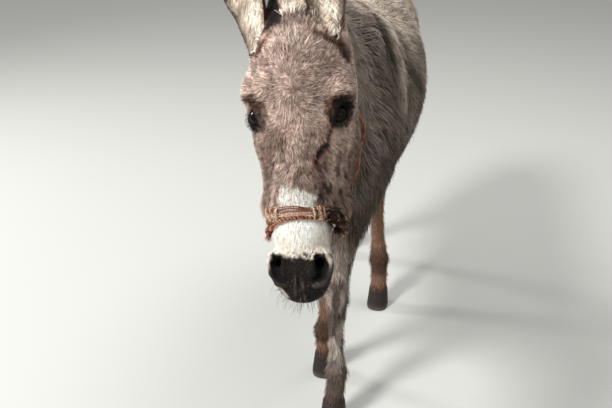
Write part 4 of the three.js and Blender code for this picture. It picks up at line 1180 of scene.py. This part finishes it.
# Mane: coarse hairs that stand on the crest and lean to both sides
count = coat["maneHairs"]
crest = np.array(body["crest"], float)
t = rng.random(count) * 2.9  # in stations of the crest, from the poll to the withers
i = t.astype(int)
line = mix(crest[i], crest[i + 1], (t - i)[:, None])
spreadX = rng.normal(0, 7, count)
rootZ = line[:, 2] - 24 + line[:, 3] - 6 - np.abs(spreadX) * 0.3
root = np.column_stack([line[:, 0] + spreadX, line[:, 1], rootZ])
root = root - unit(slopeOf(skinForm, root)) * (skinForm(root) + 1)[:, None]
up = unit(np.column_stack([spreadX * 0.03, np.full(count, 0.1), np.ones(count)]))
sideways = rng.normal(0, 0.5, count) + np.sign(spreadX) * 0.3
flow = np.column_stack([sideways, rng.normal(0.5, 0.3, count), np.zeros(count)])
length = mix(46, 17, smooth(-line[:, 1], 420, 450)) * mix(0.7, 1.1, rng.random(count))
length *= mix(1, 0.3, smooth(line[:, 1], -190, 10)) * mix(0.8, 1.15, cloud(line[:, :3], 30, 71))
front = (line[:, 1] < -430)[:, None] & (rng.random(count) < 0.85)[:, None]
dark = (np.abs(spreadX) < 5)[:, None] & ~front
# hairs at the front, by the poll, cream: painted light on the crest there
colour = np.where(dark, tint["stripe"] * 1.6, np.where(front, tint["earIn"] * 0.85, tint["mane"] * 1.5))
total += tuftPiece(
    "mane", root, up, flow, length, length * 0.86, 1.5 * mix(0.7, 1.2, rng.random(count)), colour,
    rings=3, lock=15, pull=0.3, rootDarkAndShade=0.5, tipShade=1.1,
)

# Tail: hairs grow all round the dock and hang in a brush
count = coat["tailHairs"]
rows = np.array(body["tail"], float)
t = 1.2 + rng.random(count) ** 0.8 * 4.3  # in stations of the tail
i = t.astype(int)
line = mix(rows[i], rows[np.minimum(i + 1, 6)], (t - i)[:, None])
a = rng.random(count) * 2 * np.pi
n = np.column_stack([np.cos(a), np.sin(a), np.zeros(count)])
root = line[:, :3] + n * 14
brush = smooth(t, 2.2, 4)
length = mix(55, 150, brush) * mix(0.7, 1.05, rng.random(count))
length = np.minimum(length, np.maximum(root[:, 2] - 436 - 90 * rng.random(count) ** 1.6, 12))
hang = np.array([0, 0, -1.0]) + rng.normal(0, 0.05, (count, 3))
off = np.minimum(length * 0.3, mix(7, 20, brush) * mix(0.4, 1, rng.random(count)))
total += tuftPiece(
    "tailBrush", root, n, hang, length, off, 1.7 * mix(0.7, 1.2, rng.random(count)), markings(root),
    rings=3, lock=16, pull=0.3, rootDarkAndShade=0.5, vary=0.5,
)
print("all hair", total, "triangles")


# Eyes: a glossy dark ball with a slightly raised cornea and a lying oval pupil

def eyeMaterial():
    # wet eye: clear cornea over a very dark brown iris, sharp highlights
    material, tree, shader = newMaterial("wetEye")
    colour = node(tree, "ShaderNodeAttribute", attribute_name="tint")
    tree.links.new(colour.outputs["Color"], shader.inputs["Base Color"])
    shader.inputs["Roughness"].default_value = 0.08
    shader.inputs["IOR"].default_value = 1.34
    shader.inputs["Specular IOR Level"].default_value = 0.24
    return material


def lidMaterial():
    # bare dark skin at the edge of the lids, a little moist
    material, tree, shader = newMaterial("darkLidSkin")
    place = node(tree, "ShaderNodeTexCoord")
    grain = node(tree, "ShaderNodeTexNoise", {"Vector": place.outputs["Object"], "Scale": 900.0,
                                              "Detail": 3.0})
    ramp = node(tree, "ShaderNodeMix", {0: grain.outputs[0], 6: rgba("#070504"), 7: rgba("#140e0c")},
                data_type="RGBA")
    tree.links.new(ramp.outputs[2], shader.inputs["Base Color"])
    bump = node(tree, "ShaderNodeBump", {"Strength": 0.4, "Distance": 0.0005, "Height": grain.outputs[0]})
    tree.links.new(bump.outputs[0], shader.inputs["Normal"])
    shader.inputs["Roughness"].default_value = 0.75
    shader.inputs["Specular IOR Level"].default_value = 0.15
    return material


def sweep(path, frames, radii, sides, closed):
    # a round section carried along a path: centre plus its two cross directions times cosine and sine
    a = np.linspace(0, 2 * np.pi, sides, endpoint=False)
    one, two = frames[0][:, None, :], frames[1][:, None, :]
    ring = np.cos(a)[None, :, None] * one + np.sin(a)[None, :, None] * two
    verts = (path[:, None, :] + ring * np.asarray(radii)[:, None, None]).reshape(-1, 3)
    quads = tubeQuads(len(path), sides, closed)
    if closed:
        return verts, [quads]
    here, last = np.arange(sides), len(verts)
    ahead = (here + 1) % sides
    start = np.column_stack([np.full(sides, last), ahead, here])
    end = np.column_stack([np.full(sides, last + 1), last - sides + here, last - sides + ahead])
    return np.vstack([verts, path[:1], path[-1:]]), [quads, start, end]


wetEye, lidSkin = eyeMaterial(), lidMaterial()
for side, label in bothSides:
    out, long, tall = eyeAxes(side)
    # ball: radius over two angles, from the middle of the pupil (u) and round it (v), with the cornea
    # raised in front
    u, v = np.linspace(0, np.pi, 49), np.linspace(0, 2 * np.pi, 64, endpoint=False)
    au, av = np.meshgrid(u, v, indexing="ij")
    radius = (eye["radius"] - 0.6) + 1.3 * np.exp(-(au / 0.55) ** 2)
    dirs = (np.cos(au)[..., None] * out + (np.sin(au) * np.cos(av))[..., None] * long
            + (np.sin(au) * np.sin(av))[..., None] * tall)
    ball = (eyes[side] + dirs * radius[..., None]).reshape(-1, 3)
    quads = tubeQuads(len(u), len(v))[:, [0, 3, 2, 1]]
    iris = fall(np.sin(au), 0.62, 0.7)
    pupil = fall(np.hypot(np.sin(au) * np.cos(av) / 0.4, np.sin(au) * np.sin(av) / 0.2), 0.85, 1.1)
    colour = mix(linear("#050403"), linear("#120a07"), iris[..., None])
    colour = mix(colour, linear("#050405"), pupil[..., None])
    made = makeMesh("eye" + label, ball, quads, colour.reshape(-1, 3))
    addPiece(made, wetEye, "eye", "eye_" + label.lower())
    # edge of the lids: a thin roll along the opening's ellipse
    a = np.linspace(0, 2 * np.pi, 72, endpoint=False)
    x = np.cos(a) * np.sin(np.radians(eye["halfLong"]))
    y = np.sin(a) * np.sin(np.radians(eye["halfTall"])) - 0.06
    z = np.sqrt(np.maximum(1 - x * x - y * y, 0.05))
    radial = unit(x[:, None] * long + y[:, None] * tall + z[:, None] * out)
    path = eyes[side] + radial * (eye["radius"] + 1.2)
    ahead = unit(np.roll(path, -1, 0) - np.roll(path, 1, 0))
    verts, quads = sweep(path, (radial, np.cross(ahead, radial)), np.full(72, 1.5), 10, True)
    addPiece(makeMesh("lidEdge" + label, verts, quads), lidSkin, "face")
    # lashes along the upper edge
    pick = np.repeat(np.flatnonzero(y > 0.1), 3)
    count = len(pick)
    root = path[pick] + rng.normal(0, 0.5, (count, 3))
    flow = tall * 0.5 + faceDown * 0.4 + rng.normal(0, 0.2, (count, 3))
    tuftPiece(
        "lashes" + label, root, radial[pick], flow, 15 * mix(0.6, 1, rng.random(count)),
        np.full(count, 8.0), np.full(count, 0.45), np.tile(linear("#2a1f1b"), (count, 1)),
        slot="face", rings=3,
    )


# Whiskers round the lips
count = 150
a = rng.random(count) * 2 - 1
seeds = np.column_stack([a * 40, mix(30, 92, rng.random(count)), mix(440, 482, rng.random(count))])
root = ontoForm(skinForm, fromHead(seeds), 0, 6)
n = unit(slopeOf(skinForm, root))
length = mix(14, 38, rng.random(count) ** 1.5)
flow = faceDown + rng.normal(0, 0.6, (count, 3))
colour = np.where(rng.random(count)[:, None] < 0.25, linear("#b8aea4"), linear("#3a302c"))
tuftPiece("whiskers", root, n, flow, length, length * 0.75, np.full(count, 0.3), colour,
          slot="face", rings=3, vary=0.1)


# Hooves: narrow upright boxes of horn, a rounded square in plan, ringed by growth

hoof = {
    "squareness": 2.5, "height": 58, "ringEvery": 5.5, "ringDepth": 0.35,
    # height, half width, half length, how far its middle lies behind the leg's
    "stations": [
        [0, 33.2, 41.2, -9], [5, 34, 42, -9], [30, 32, 38, -4], [58, 29.4, 31.5, 1], [64, 26, 28, 2],
    ],
}


def hoofMaterial():
    # horn: dull, nearly black, with fine upright grain (0.8 mm) and paler worn edge and dust at the floor
    material, tree, shader = newMaterial("darkHorn")
    place = node(tree, "ShaderNodeTexCoord")
    stretch = node(tree, "ShaderNodeMapping", {0: place.outputs["Object"]})
    stretch.inputs["Scale"].default_value = (1, 1, 0.08)
    grain = node(tree, "ShaderNodeTexNoise", {"Vector": stretch.outputs[0], "Scale": 700.0, "Detail": 3.0})
    spots = node(tree, "ShaderNodeTexNoise", {"Vector": place.outputs["Object"], "Scale": 60.0,
                                              "Detail": 4.0})
    horn = node(tree, "ShaderNodeMix", {0: grain.outputs[0], 6: rgba("#120e0d"), 7: rgba("#352c28")},
                data_type="RGBA")
    height = node(tree, "ShaderNodeSeparateXYZ", {0: place.outputs["Object"]})
    low = node(tree, "ShaderNodeMapRange", {0: height.outputs[2], 1: 0.0, 2: 0.018, 3: 0.7, 4: 0.0})
    dust = node(tree, "ShaderNodeMath", {0: low.outputs[0], 1: spots.outputs[0]}, operation="MULTIPLY")
    worn = node(tree, "ShaderNodeMix", {0: dust.outputs[0], 6: horn.outputs[2], 7: rgba("#8a7a6a")},
                data_type="RGBA")
    tree.links.new(worn.outputs[2], shader.inputs["Base Color"])
    bump = node(tree, "ShaderNodeBump", {"Strength": 0.5, "Distance": 0.0006, "Height": grain.outputs[0]})
    tree.links.new(bump.outputs[0], shader.inputs["Normal"])
    shader.inputs["Roughness"].default_value = 0.6
    shader.inputs["Specular IOR Level"].default_value = 0.25
    return material


def hoofMesh(foot):
    # half width and half length over height, times a superellipse round the middle and the rings' ripple
    levels, sides, power = 46, 56, hoof["squareness"]
    z = np.linspace(0, hoof["height"] + 5, levels)
    _, wide, long, ahead = stationAt(hoof["stations"], z).T
    rings = 1 + hoof["ringDepth"] / 30 * np.sin(z / hoof["ringEvery"] * 2 * np.pi) * smooth(z, 2, 8)
    a = np.linspace(0, 2 * np.pi, sides, endpoint=False)
    c, s = np.cos(a), np.sin(a)
    square = (np.abs(c) ** power + np.abs(s) ** power) ** (-1 / power)
    verts = np.stack([
        foot[0] + (wide * rings)[:, None] * c * square,
        foot[1] + ahead[:, None] + (long * rings)[:, None] * s * square,
        np.repeat(z[:, None], sides, axis=1),
    ], axis=-1).reshape(-1, 3)
    here, base, top = np.arange(sides), len(verts), len(verts) - sides
    around = (here + 1) % sides
    ends = [np.column_stack([np.full(sides, base), around, here]),
            np.column_stack([np.full(sides, base + 1), top + here, top + around])]
    middles = [[foot[0], foot[1] - 9, 0], [foot[0], foot[1] + 2, hoof["height"] + 5]]
    return np.vstack([verts, middles]), [tubeQuads(levels, sides), *ends]


horn = hoofMaterial()
for name, rows in legs.items():
    made = makeMesh("hoof" + name.title().replace("_", ""), *hoofMesh(rows[-1]))
    addPiece(made, horn, "hoof", "hoof_" + name)
print("hooves done")


# Halter: strands of twine laid round a path that keeps close to the coat

halter = {
    "down": 327, "apart": 18, "ropeRadius": 3.4, "strandRadius": 1.7,
    "frayed": 70, "loose": 340,  # fibres at each pair of ends, and off the noseband
}


def besideHead(seeds, clear):  # points in the head's axes, moved until they stand clear of the coat
    return ontoForm(outerForm, fromHead(seeds), clear, 14)


def evenly(path, step, closed):  # points at equal steps along a line of points, by eased cubics
    if closed:
        path = np.vstack([path[-1:], path, path[:2]])
    else:
        path = np.vstack([2 * path[:1] - path[1:2], path, 2 * path[-1:] - path[-2:-1]])
    t = np.linspace(0, 1, 12, endpoint=False)[:, None]
    parts = []
    for a, b, c, d in zip(path[:-3], path[1:-2], path[2:-1], path[3:]):
        bend, twist = 2 * a - 5 * b + 4 * c - d, 3 * b - a - 3 * c + d
        parts.append(0.5 * (2 * b + (c - a) * t + bend * t ** 2 + twist * t ** 3))
    line = np.concatenate([*parts, path[-2:-1]])
    run = np.concatenate([[0], np.cumsum(np.linalg.norm(np.diff(line, axis=0), axis=1))])
    n = max(int(run[-1] / step), 4)
    at = np.linspace(0, run[-1], n, endpoint=not closed)
    return np.column_stack([np.interp(at, run, line[:, k]) for k in range(3)])


def joined(parts):  # several meshes as one: points, faces and shades
    verts, faces, shades, before = [], [], [], 0
    for v, f, shade in parts:
        verts.append(v)
        faces.extend(g + before for g in f)
        shades.append(shade)
        before += len(v)
    return np.vstack(verts), faces, np.concatenate(shades)


def twineMesh(path, radius, closed, strands=3, pitch=None, sides=8, shade=1.0):
    # strands of a rope: each runs round the path at about half the rope's radius, once in each pitch; tint:
    # painted shade in the furrows between strands, painted light on their backs
    pitch = pitch or radius * 4.6
    ahead = unit(np.roll(path, -1, 0) - np.roll(path, 1, 0)) if closed else unit(np.gradient(path, axis=0))
    out = path - fromHead([0, 90, 200])
    out = unit(out - (out * ahead).sum(1, keepdims=True) * ahead)
    aside = np.cross(ahead, out)
    run = np.concatenate([[0], np.cumsum(np.linalg.norm(np.diff(path, axis=0), axis=1))])
    whole = run[-1] + (np.linalg.norm(path[0] - path[-1]) if closed else 0)
    turns = max(round(whole / pitch), 1) if closed else whole / pitch
    uneven = mix(0.82, 1.18, cloud(path, 9, strands * 3 + sides))
    made = []
    for s in range(strands):
        a = run / whole * turns * 2 * np.pi + 2 * np.pi * s / strands
        centre = path + (np.cos(a)[:, None] * out + np.sin(a)[:, None] * aside) * radius * 0.56
        v, f = sweep(centre, (out, aside), radius * 0.52 * uneven, sides, closed)
        fromAxis = np.linalg.norm(v[:len(path) * sides] - np.repeat(path, sides, axis=0), axis=1)
        furrowShade = np.ones(len(v))
        furrowShade[:len(path) * sides] = mix(0.16, 1.2, smooth(fromAxis / radius, 0.62, 1.02))
        made.append((v, f, furrowShade * shade * mix(0.8, 1.2, (s + 0.5) / strands)))
    return joined(made)


def twineMaterial(name, dark, pale):
    # old sisal baling twine: dry twisted fibre about 0.5 mm wide, drawn at 1 mm so that it shows
    material, tree, shader = newMaterial(name)
    place = node(tree, "ShaderNodeTexCoord")
    fibre = node(tree, "ShaderNodeTexNoise", {"Vector": place.outputs["Object"], "Scale": 620.0,
                                              "Detail": 4.0, "Roughness": 0.7})
    wear = node(tree, "ShaderNodeTexNoise", {"Vector": place.outputs["Object"], "Scale": 45.0,
                                             "Detail": 2.0})
    both = node(tree, "ShaderNodeMath", {0: fibre.outputs[0], 1: wear.outputs[0]}, operation="ADD")
    spread = node(tree, "ShaderNodeMapRange", {0: both.outputs[0], 1: 0.75, 2: 1.25, 3: 0.0, 4: 1.0})
    colour = node(tree, "ShaderNodeMix", {0: spread.outputs[0], 6: rgba(dark), 7: rgba(pale)},
                  data_type="RGBA")
    # the tint carries painted shade in the furrows and light on the strands' backs, times each strand's own
    # tone
    furrowShade = node(tree, "ShaderNodeAttribute", attribute_name="tint")
    shaded = node(tree, "ShaderNodeMix", {0: 1.0, 6: colour.outputs[2], 7: furrowShade.outputs["Color"]},
                  data_type="RGBA", blend_type="MULTIPLY")
    tree.links.new(shaded.outputs[2], shader.inputs["Base Color"])
    bump = node(tree, "ShaderNodeBump", {"Strength": 0.8, "Distance": 0.0008, "Height": fibre.outputs[0]})
    tree.links.new(bump.outputs[0], shader.inputs["Normal"])
    shader.inputs["Roughness"].default_value = 0.9
    shader.inputs["Specular IOR Level"].default_value = 0.15
    return material


redTwine = twineMaterial("redSisalTwine", "#6e3826", "#c48a6c")
paleTwine = twineMaterial("paleSisalTwine", "#a17459", "#edd0b9")


def twinePiece(name, mesh, material, *nodes):
    # painted shadow of the cheek hair over the twine on the left side of the nose, round the knot
    verts, faces, shades = mesh
    q = toHead(verts)
    paintedShadow = smooth(q[:, 0], 38, 54) * smooth(q[:, 2], 285, 305)
    shades = shades * mix(1, 0.2, paintedShadow)
    made = makeMesh(name, verts, faces, np.repeat(shades[:, None], 3, axis=1))
    return addPiece(made, material, "twine", *nodes)


def noseLoop(down, clear, step=1.8, waver=1.6, arch=0.0, droop=0.0):
    # once round the nose, wavering a little up and down, lower at the sides by the arch and at the
    # right front by the droop
    a = np.linspace(0, 2 * np.pi, 40, endpoint=False)
    back = 64 - 62 * np.cos(a)
    level = down + back * 0.12 + arch * (1 - np.cos(a)) * (back < 64)
    seeds = np.column_stack([66 * np.sin(a), back, level])
    seeds[:, 2] += (cloud(fromHead(seeds), 24, int(down * 3) % 97) - 0.5) * 2 * waver
    seeds[:, 2] += droop * np.exp((np.cos(a + 1.1) - 1) * 5)
    return evenly(besideHead(seeds, clear), step, True)


upperDown, lowerDown = halter["down"] - halter["apart"] / 2, halter["down"] + halter["apart"] / 2
thin = halter["strandRadius"]
upper = joined([
    twineMesh(noseLoop(upperDown - 2.8, 1.6, waver=2.6), thin, True, 2, 11),
    twineMesh(noseLoop(upperDown + 0.6, 2.4, waver=2.0), thin * 0.85, True, 2, 9, shade=0.7),
    twineMesh(noseLoop(upperDown + 3.4, 1.2, waver=2.4), thin, True, 2, 10, shade=1.1),
])
twinePiece("nosebandUpper", upper, redTwine, "halter_noseband_upper")
lower = twineMesh(noseLoop(lowerDown - 3.5, 2.4, 1.2, 0.8, 7, 13), halter["ropeRadius"], True, 2, 13)
twinePiece("nosebandLower", lower, redTwine, "halter_noseband_lower")
pale = joined([
    twineMesh(noseLoop(upperDown + k, high, waver=3.0), thin * size, True, 2, 10, shade=shade)
    for k, high, size, shade in ((7.4, 1.0, 0.9, 1.0), (10.6, 0.6, 0.75, 0.8), (13.4, 1.2, 0.9, 0.95))
])
twinePiece("nosebandPale", pale, paleTwine)

# from the noseband past the eye and behind the ear to the poll, on the left side of the head
cheekRun = [
    [66, 96, 336], [70, 106, 314], [74, 112, 290], [82, 124, 250], [92, 136, 205], [94, 139, 176],
    [94, 142, 150], [90, 142, 95], [80, 136, 50], [64, 122, 12], [52, 116, -6], [38, 108, -24],
    [20, 100, -40], [4, 94, -48],
]
for side, label in bothSides:
    seeds = np.array(cheekRun, float) * [side, 1, 1]
    # sunk into the coat, but for a slack bit beside the eye
    slack = np.exp(-((seeds[:, 2] - 176) / 24) ** 2) + 0.5 * np.exp(-((seeds[:, 2] - 250) / 16) ** 2)
    path = evenly(besideHead(seeds, mix(-5.5, 6.0, slack)), 2.0, False)
    mesh = twineMesh(path, halter["ropeRadius"] * 0.85, False, 3, 14)
    twinePiece("cheekTwine" + label, mesh, redTwine, "halter_cheek_" + label.lower())


def wrapLoop(across, reach, radius, spin, high=3.0):
    # a turn of twine over the strands of the noseband: a flat upright ellipse on the nose
    back = 14 if abs(across) < 40 else 14 + (abs(across) - 40) * 2.2
    seed = besideHead(np.array([[across, back, halter["down"] + 1.0]]), high)[0]
    n = unit(slopeOf(outerForm, seed[None]))[0]
    a = np.linspace(0, 2 * np.pi, 26, endpoint=False)
    tall = unit(faceDown - (faceDown @ n) * n)
    tall = unit(tall + np.cross(n, tall) * spin)
    path = seed + tall * (np.cos(a) * reach)[:, None] + n * (np.sin(a) * 4.6)[:, None]
    path += (np.column_stack([cloud(path + across, 8, k) for k in (51, 52, 53)]) - 0.5) * 2.4
    return twineMesh(evenly(path, 1.6, True), radius, True, 2)


wraps = [wrapLoop(x, reach, radius, spin) for x, reach, radius, spin in (
    (25, 11, 1.5, 0.06), (36, 12, 2.0, 0.08), (39.5, 12, 2.1, 0.0), (43, 11, 1.7, -0.12),
    (-32, 12, 1.8, 0.1), (-37, 13, 1.6, -0.15), (-45, 14, 1.9, 0.25), (-52, 15, 1.7, 0.5))]
twinePiece("nosebandWraps", joined(wraps), paleTwine)


def knotLoops(centre, n, count, size, radius):
    # a tight bundle: rings of twine of different tilts round one middle
    made = []
    for turn in range(count):
        axis = unit(rng.normal(0, 1, 3))
        one = unit(np.cross(axis, n + 0.1))
        two = np.cross(axis, one)
        a = np.linspace(0, 2 * np.pi, 20, endpoint=False)
        off = rng.normal(0, size * 0.22, 3)
        path = centre + off + one * (np.cos(a) * size)[:, None] + two * (np.sin(a) * size * 0.8)[:, None]
        made.append(twineMesh(evenly(path, 1.8, True), radius, True, 2, shade=mix(0.45, 1.0, rng.random())))
    return made


def strayEnd(seeds, clear, radius, shade):  # a loose end of twine, its tip and the way it points
    path = evenly(besideHead(np.array(seeds, float), np.array(clear, float)), 1.6, False)
    return twineMesh(path, radius, False, 2, 9, shade=shade), path[-1], unit(path[-1] - path[-4])


knots = {
    # second bundle on the noseband, its loops and their size; the frayed fibres' longest, colour and
    # share of dark ones; then stray ends: points, clearance, radius and shade
    1: {"bundle": [52, 38, 335], "loops": 13, "size": 7.5, "shade": 0.42,
        "fray": 15, "fibre": "#4a281d", "flecks": 0.2, "ends": [
        ([[44, 28, 338], [52, 42, 346], [60, 56, 354], [68, 66, 360]], [4, 8, 9, 14], 1.4, 1.5),
        ([[50, 34, 330], [58, 50, 326], [66, 64, 334], [70, 74, 348]], [4, 9, 10, 9], 1.5, 0.5),
        ([[48, 30, 344], [54, 44, 356], [58, 58, 364]], [4, 8, 12], 1.3, 0.6),
        ([[46, 26, 326], [52, 36, 318], [60, 48, 322], [64, 60, 334]], [3, 8, 9, 7], 1.4, 0.9),
    ]},
    -1: {"bundle": [-54, 40, 340], "loops": 5, "size": 6.0, "shade": 0.9,
         "fray": 20, "fibre": "#a8573c", "flecks": 0.05, "ends": [
        ([[-44, 22, 334], [-52, 38, 344], [-58, 52, 356], [-62, 60, 366]], [4, 6, 8, 10], 1.5, 0.9),
        ([[-46, 26, 340], [-54, 42, 352], [-58, 54, 364]], [3, 6, 8], 1.4, 0.7),
    ]},
}

# Knots: tight loops at each side of the nose with sprays of frayed ends, the left one the larger
for side, label in bothSides:
    knot, knotNode = knots[side], "halter_knot_" + label.lower()
    centre = boxMiddle(knotNode) - shift
    n = unit(slopeOf(outerForm, centre[None]))[0]
    centre = centre - n * 5
    second = besideHead(np.array([knot["bundle"]], float), 4.5)[0]
    loops = knotLoops(centre, n, 5, 6.5, 1.9) + knotLoops(second, n, knot["loops"], knot["size"], 1.7)
    tips = [(centre, unit(faceDown + n * 0.4)), (second, unit(faceDown * 0.8 + n * 0.5))]
    for seeds, clear, radius, shade in knot["ends"]:
        mesh, tip, ahead = strayEnd(seeds, clear, radius, shade)
        loops.append(mesh)
        tips += [(tip, ahead)] * 2
    verts, faces, shades = joined(loops)
    twinePiece("halterKnot" + label, (verts, faces, shades * knot["shade"]), redTwine, knotNode)
    # each end bursts into fibres
    count = halter["frayed"] * len(tips) // 2
    start, hang = np.array(tips)[rng.integers(0, len(tips), count)].transpose(1, 0, 2)
    hang = hang + faceDown * 0.25 + rng.normal(0, 0.34, (count, 3))
    root = start + rng.normal(0, 1.8, (count, 3)) - unit(hang) * 3
    length = mix(8, knot["fray"], rng.random(count) ** 1.3)
    colour = np.where(rng.random(count)[:, None] < 0.7, linear(knot["fibre"]), linear("#cfae8e"))
    tuftPiece(
        "frayedEnds" + label, root, n + rng.normal(0, 0.3, (count, 3)), hang, length, length * 0.3,
        np.full(count, 0.55), colour, rings=3, slot="twine", vary=0.6, flecks=knot["flecks"],
    )

# Loose fibres that stand off the noseband
count = halter["loose"]
every = np.vstack([noseLoop(upperDown - 3, 2.4), noseLoop(upperDown + 9, 1.8), noseLoop(lowerDown, 4.2)])
root = every[rng.integers(0, len(every), count)] + rng.normal(0, 1.2, (count, 3))
n = unit(slopeOf(outerForm, root))
length = mix(3, 11, rng.random(count) ** 2)
flow = rng.normal(0, 1, (count, 3))
colour = np.where(rng.random(count)[:, None] < 0.5, linear("#c58a63"), linear("#ecd8bd"))
tuftPiece("looseFibres", root, n, flow, length, length * 0.6, np.full(count, 0.28), colour,
          slot="twine", vary=0.3)
print("halter done")


# Floor, light and camera

def plainMaterial(name, colour):  # painted studio floor, quite matte
    material, tree, shader = newMaterial(name)
    shader.inputs["Base Color"].default_value = rgba(colour)
    shader.inputs["Roughness"].default_value = 0.9
    shader.inputs["Specular IOR Level"].default_value = 0.1
    return material


bpy.ops.mesh.primitive_plane_add(size=60)
floor = bpy.context.object
floor.name = "floor"
floor.data.materials.append(plainMaterial("mattePaleFloor", "#bebeba"))

light = {"key": 300, "fill": 10, "rim": 60, "top": 55, "world": 0.55}


def areaLight(name, place, target, size, power):  # a round lamp that looks at its target
    data = bpy.data.lights.new(name, "AREA")
    data.energy, data.size, data.shape = power, size, "DISK"
    made = bpy.data.objects.new(name, data)
    made.location = place
    made.rotation_euler = (Vector(target) - Vector(place)).to_track_quat("-Z", "Y").to_euler()
    bpy.context.scene.collection.objects.link(made)


areaLight("key", (-2.3, -2.8, 4.3), (0, -0.3, 0.8), 1.2, light["key"])
areaLight("fill", (3.0, -3.0, 1.8), (0, 0, 0.7), 2.5, light["fill"])
areaLight("rim", (-3.3, 1.2, 2.1), (0, -0.3, 0.9), 0.7, light["rim"])
areaLight("top", (1.0, 1.7, 3.6), (0.1, 0.3, 0.9), 1.6, light["top"])

world = bpy.data.worlds.new("studio")
bpy.context.scene.world = world
world.use_nodes = True
tree = world.node_tree
background = tree.nodes["Background"]
path = node(tree, "ShaderNodeLightPath")
level = node(tree, "ShaderNodeMapRange", {0: path.outputs["Is Camera Ray"], 3: light["world"], 4: 1.0})
tree.links.new(level.outputs[0], background.inputs["Strength"])
background.inputs["Color"].default_value = rgba("#f2f2f0")

view = {"lens": 50, "sensor": 36, "place": (0.302, -2.0673, 1.5), "towards": (-0.167, 0.891, -0.423)}
camera = bpy.data.cameras.new("camera")
camera.lens, camera.sensor_width = view["lens"], view["sensor"]
cameraObject = bpy.data.objects.new("camera", camera)
forward = Vector(view["towards"]).normalized()
right = forward.cross(Vector((0, 0, 1))).normalized()
above = right.cross(forward)
turned = Matrix((right, above, -forward)).transposed()
cameraObject.matrix_world = Matrix.Translation(Vector(view["place"])) @ turned.to_4x4()
bpy.context.scene.collection.objects.link(cameraObject)
bpy.context.scene.camera = cameraObject
bpy.context.scene.view_settings.view_transform = "Standard"
